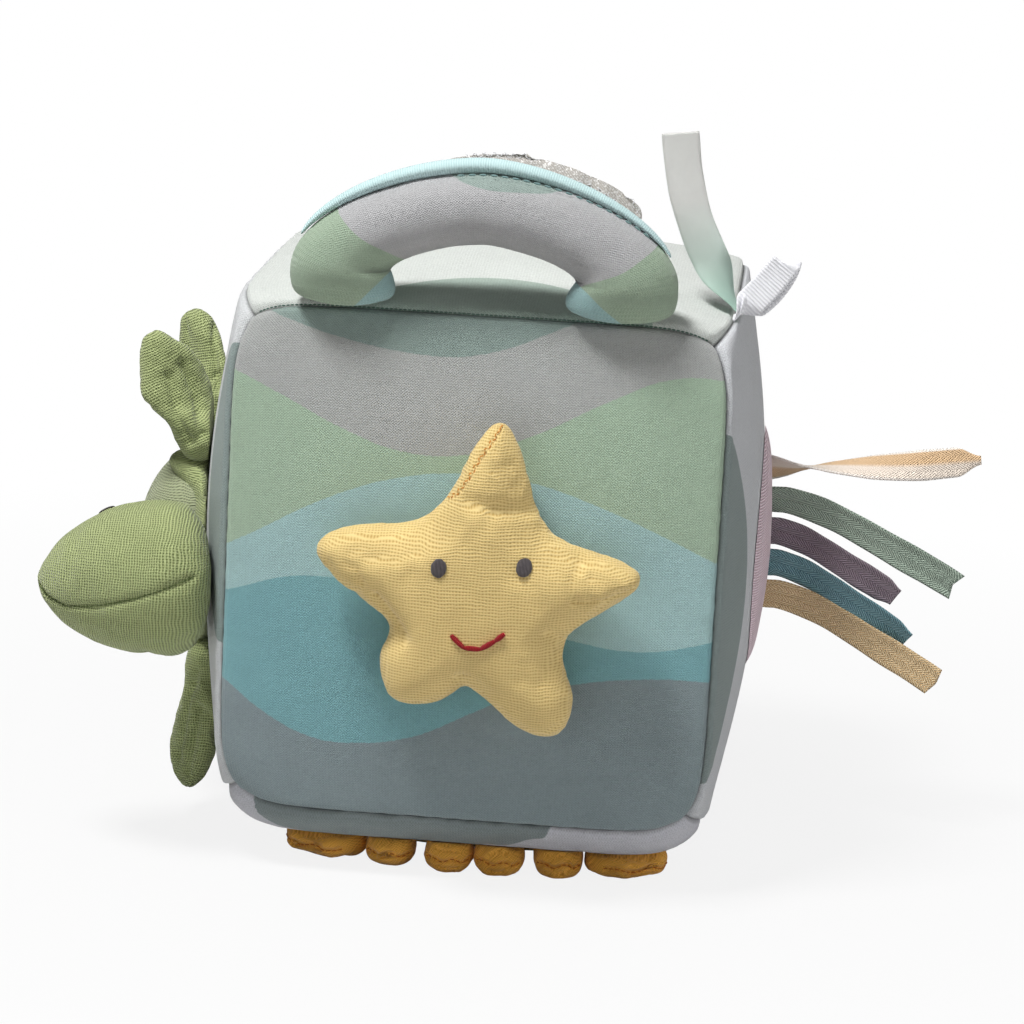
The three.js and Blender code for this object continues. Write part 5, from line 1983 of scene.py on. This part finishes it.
for index, (name, (share, spread_deg, claw)) in enumerate(LOBES.items()):
    across = share * LOBE_REACH
    cosine = (abs(across) / CRAB_HALF_WIDE) ** (1 / CRAB_BOXY)
    rim = CRAB_HALF_DEEP * math.sin(math.acos(cosine)) ** CRAB_BOXY
    spread = math.copysign(math.radians(spread_deg), share)
    along = np.array([math.sin(spread), -math.cos(spread), 0])
    root = np.array([CRAB_X + across, CRAB_Y - rim, 5.1]) + along * (LOBE_ROOT + 0.5)
    wide = 13 if claw else 7.7
    size = {"root": LOBE_ROOT, "root_width": wide / 2, "width": wide, "thick": LOBE_THICK,
            "length": 29 if claw else 22}
    across_axis = np.array([-along[1], along[0], 0])
    rings = limb_rings(root, along, across_axis, AXES["z"], size, 0.4, 0.5, 56, boxy=0.8)
    lobe = tube(f"crab_{name}_cloth", rings, ochre)
    blow_up(lobe, 1.5, 0.9, 0.06, lambda p: (p - root) @ along < 4)
    subdivide(lobe)
    crumple(lobe, 7, 0.5, 41 + index)
    seam = lobe_seam(lobe, root, along, size["length"], across_axis, wide)
    groove(lobe, seam, 0.9, 0.9)
    move_points(lobe, under_block(points_of(lobe)))
    lay_cloth(lobe, AXES["x"], AXES["z"], -AXES["y"], turn_deg=35)
    dress(lobe, "block", "ochre_gauze", f"crab_{name}")
    sewn = [np.asarray(seam) + np.array([0, 0.5, 0])]
    sew(f"crab_{name}_seam", sewn, rust_thread, "block", "ochre_gauze", 2.0, 1.7, 0.18)
print("the crab is dressed")

# %% [markdown]
# ## The shell flap
# Behind the handle stands a stuffed flap of grey cloth with silver flecks in it, quilted along
# its rim. It is as long as the back-top seam lets it be and low, so it is a limb much wider
# than long. Two zigzag rows of stitches follow its rim.


# %% Silver-flecked cloth
def silver_finish():
    """Grey cloth with fine silver flecks. A fleck is one cell of a pattern of cells, and a
    random number for each cell picks the few that shine."""
    finish = Finish("silver-flecked quilting")
    values = {"Vector": finish.place, "Scale": 1 / (0.55 * MM)}
    cells = finish.place.node("ShaderNodeTexVoronoi", {}, values)
    picked = finish.place.node("ShaderNodeTexWhiteNoise", {"noise_dimensions": "3D"},
                               {"Vector": Sock(cells.out.node.outputs["Color"])})
    fleck = ((picked - 0.66) * 9).clamp()
    channel = (finish.u / (9 * MM)).wave()
    twill = ((finish.u + finish.v) / (0.9 * MM)).wave()
    cloth = mix(twill * 0.6, colour("A29E98"), colour("C6C2BC"))
    cloth = mix(fleck * 0.8, cloth, colour("E0DFDD"))
    tree = finish.material.node_tree
    tree.links.new((fleck * 0.4).out, finish.shader.inputs["Metallic"])
    height = (channel * -0.8 + 0.8) + twill * 0.12 + fleck * 0.1 + finish.noise(2.2) * 0.3
    cloth = shade(cloth, finish.noise(8, 2.0) * 0.2 + 0.9)
    return finish.finish(cloth, height, 0.7, 0.55, 0.1)


silver_quilting = silver_finish()
print("finish:", silver_quilting.name)

# %% The flap
FLAP_HALF = 48
flap_root = np.array([-6, 79.8, 189.1])
flap_size = {"root": 3, "root_width": 45, "width": FLAP_HALF, "thick": 4, "length": 27}
flap_rings = limb_rings(flap_root, AXES["z"], AXES["x"], FRONT, flap_size, 0.04, 0.25, 120)
flap = tube("shell_flap_cloth", flap_rings, silver_quilting)
flap_points = points_of(flap) - flap_root
flap_points[:, 0] *= np.where(flap_points[:, 0] < 0, 0.86, 0.96)
flap_points[:, 2] *= 0.93 - 0.13 * smooth(flap_points[:, 0] / 40)
move_points(flap, flap_points + flap_root)
blow_up(flap, 1.0, 0.8, 0.04, lambda p: p[:, 2] < flap_root[2] + 2)
subdivide(flap)
crumple(flap, 12, 0.5, 61)


def flap_line(inset_mm, first_deg, last_deg):
    """A line on the flap's front that follows its rim."""
    wide, high = FLAP_HALF - inset_mm, 23 - inset_mm
    starts = [flap_root + np.array([wide * math.cos(a), -30, 4 + high * math.sin(a)])
              for a in np.radians(np.linspace(first_deg, last_deg, 260))]
    return cast_path(flap, starts, (0, 1, 0))


groove(flap, flap_line(3.2, 8, 172), 1.2, 1.0)
lay_cloth(flap, RIGHT, UP, FRONT)
dress(flap, "shell_flap", "silver_quilting", "shell_flap")
silver_thread = plain_thread("silver quilting thread", "D9D9DC")
quilting = [zigzag(flap_line(3.2, 8, 172), 0.8, 3.4), zigzag(flap_line(8, 12, 168), 0.8, 3.4)]
sew("shell_flap_quilting", quilting, silver_thread, "shell_flap", "silver_quilting",
    1.7, 1.6, 0.22)
print("flap faces:", len(flap.data.polygons))

# %% [markdown]
# ## The care label and the loop
# A bare satin label and a doubled woven loop are caught in the right-top seam. Both are
# ribbons like the tapes. They start in line with the seam and turn to face the front, and the
# loop's path runs up, over and down again beside itself.


# %% A path that grows out of the right-top seam
def seam_path(seam_y, length, half_width, half_thickness, lean_deg, wave, drift, count=70):
    """Places and width directions from the seam upwards, at `lean_deg` from upright."""
    top = SIDES["top"]
    place, beside = seam_y / MEAN_HALF, (seam_y + half_width) / MEAN_HALF
    seam = cover(top, np.array([1.0]), np.array([place]), 0)[0] + top["out"] * SEAT
    inner = cover(top, np.array([1.0]), np.array([beside]), 0)[0]
    height = inner[2] + SEAT + SEAT + 0.4 + half_thickness * 0.5
    root = np.array([seam[0], seam[1], height])
    lean = math.radians(lean_deg)
    path = []
    for t in np.linspace(0, 1, count):
        sway = wave * math.sin(math.pi * t)
        twist = math.pi / 2 * smooth(t / 0.33)
        path.append((
            root + np.array([length * t * math.sin(lean) + sway, drift * smooth(t),
                             length * t * math.cos(lean)]),
            np.array([math.sin(twist), math.cos(twist), 0]),
        ))
    return path


label_path = seam_path(-52, 58.5, 6, 0.4, -22, -4.6, 4)
print("the label ends at", label_path[-1][0].round(1))


# %% Satin and grosgrain
def satin_finish():
    """Smooth white satin, painted green where it stands in front of the block: painted light from
    the green block.
    """
    finish = Finish("white satin label")
    grain = (finish.v / (0.3 * MM)).wave()
    fold = finish.noise(6, 2.0)
    # Painted light: the block's green is painted onto the part of the label that stands in front of
    # it.
    painted_block_light = ((0.62 - finish.v / (62 * MM)) * 1.8).clamp()
    cloth = mix(painted_block_light, colour("DADAD6"), colour("AECFC0"))
    # The fold noise that shapes the relief also darkens the colour where it is low: painted shade
    # in the folds.
    cloth = shade(cloth, grain * 0.05 + fold * 0.1 + 0.9)
    return finish.finish(cloth, grain * 0.3 + fold, 0.25, 0.45, 0.15)


def grosgrain_finish():
    """White tape with fine ribs across it."""
    finish = Finish("white grosgrain")
    rib = rib_height(finish.v, 1.0)
    cloth = mix(rib.clamp(), colour("DFDFE4"), colour("F2F2F5"))
    return finish.finish(cloth, rib + finish.noise(0.6) * 0.2, 0.12)


print("two tape finishes")

# %% Label and loop
label = ribbon("care_label_cloth", label_path, 5.8, 0.6, satin_finish(), curl=0.5)
dress(label, "care_label", "satin_tape", "care_label")


BULGE = 2.2


def folded_back(path, gap_mm):
    """The path up to its end and back down again beside itself, with a bulge on the way."""
    behind, count = AXES["y"] * gap_mm / 2, len(path)
    up = [(place - behind, wide) for place, wide in path]
    over = [(path[-1][0] + AXES["z"] * gap_mm * 0.4, path[-1][1])]
    down = [(place + behind + AXES["x"] * BULGE * math.sin(math.pi * k / count), wide)
            for k, (place, wide) in enumerate(path)]
    return up + over + down[::-1]


loop_path = folded_back(seam_path(-64, 23.5, 5, 0.8, 40, 0.6, 2, count=40), 1.3)
loop = ribbon("side_loop_cloth", loop_path, 4.7, 0.8, grosgrain_finish())
dress(loop, "side_loop", "woven_tape", "side_loop")
print("label and loop are sewn in")
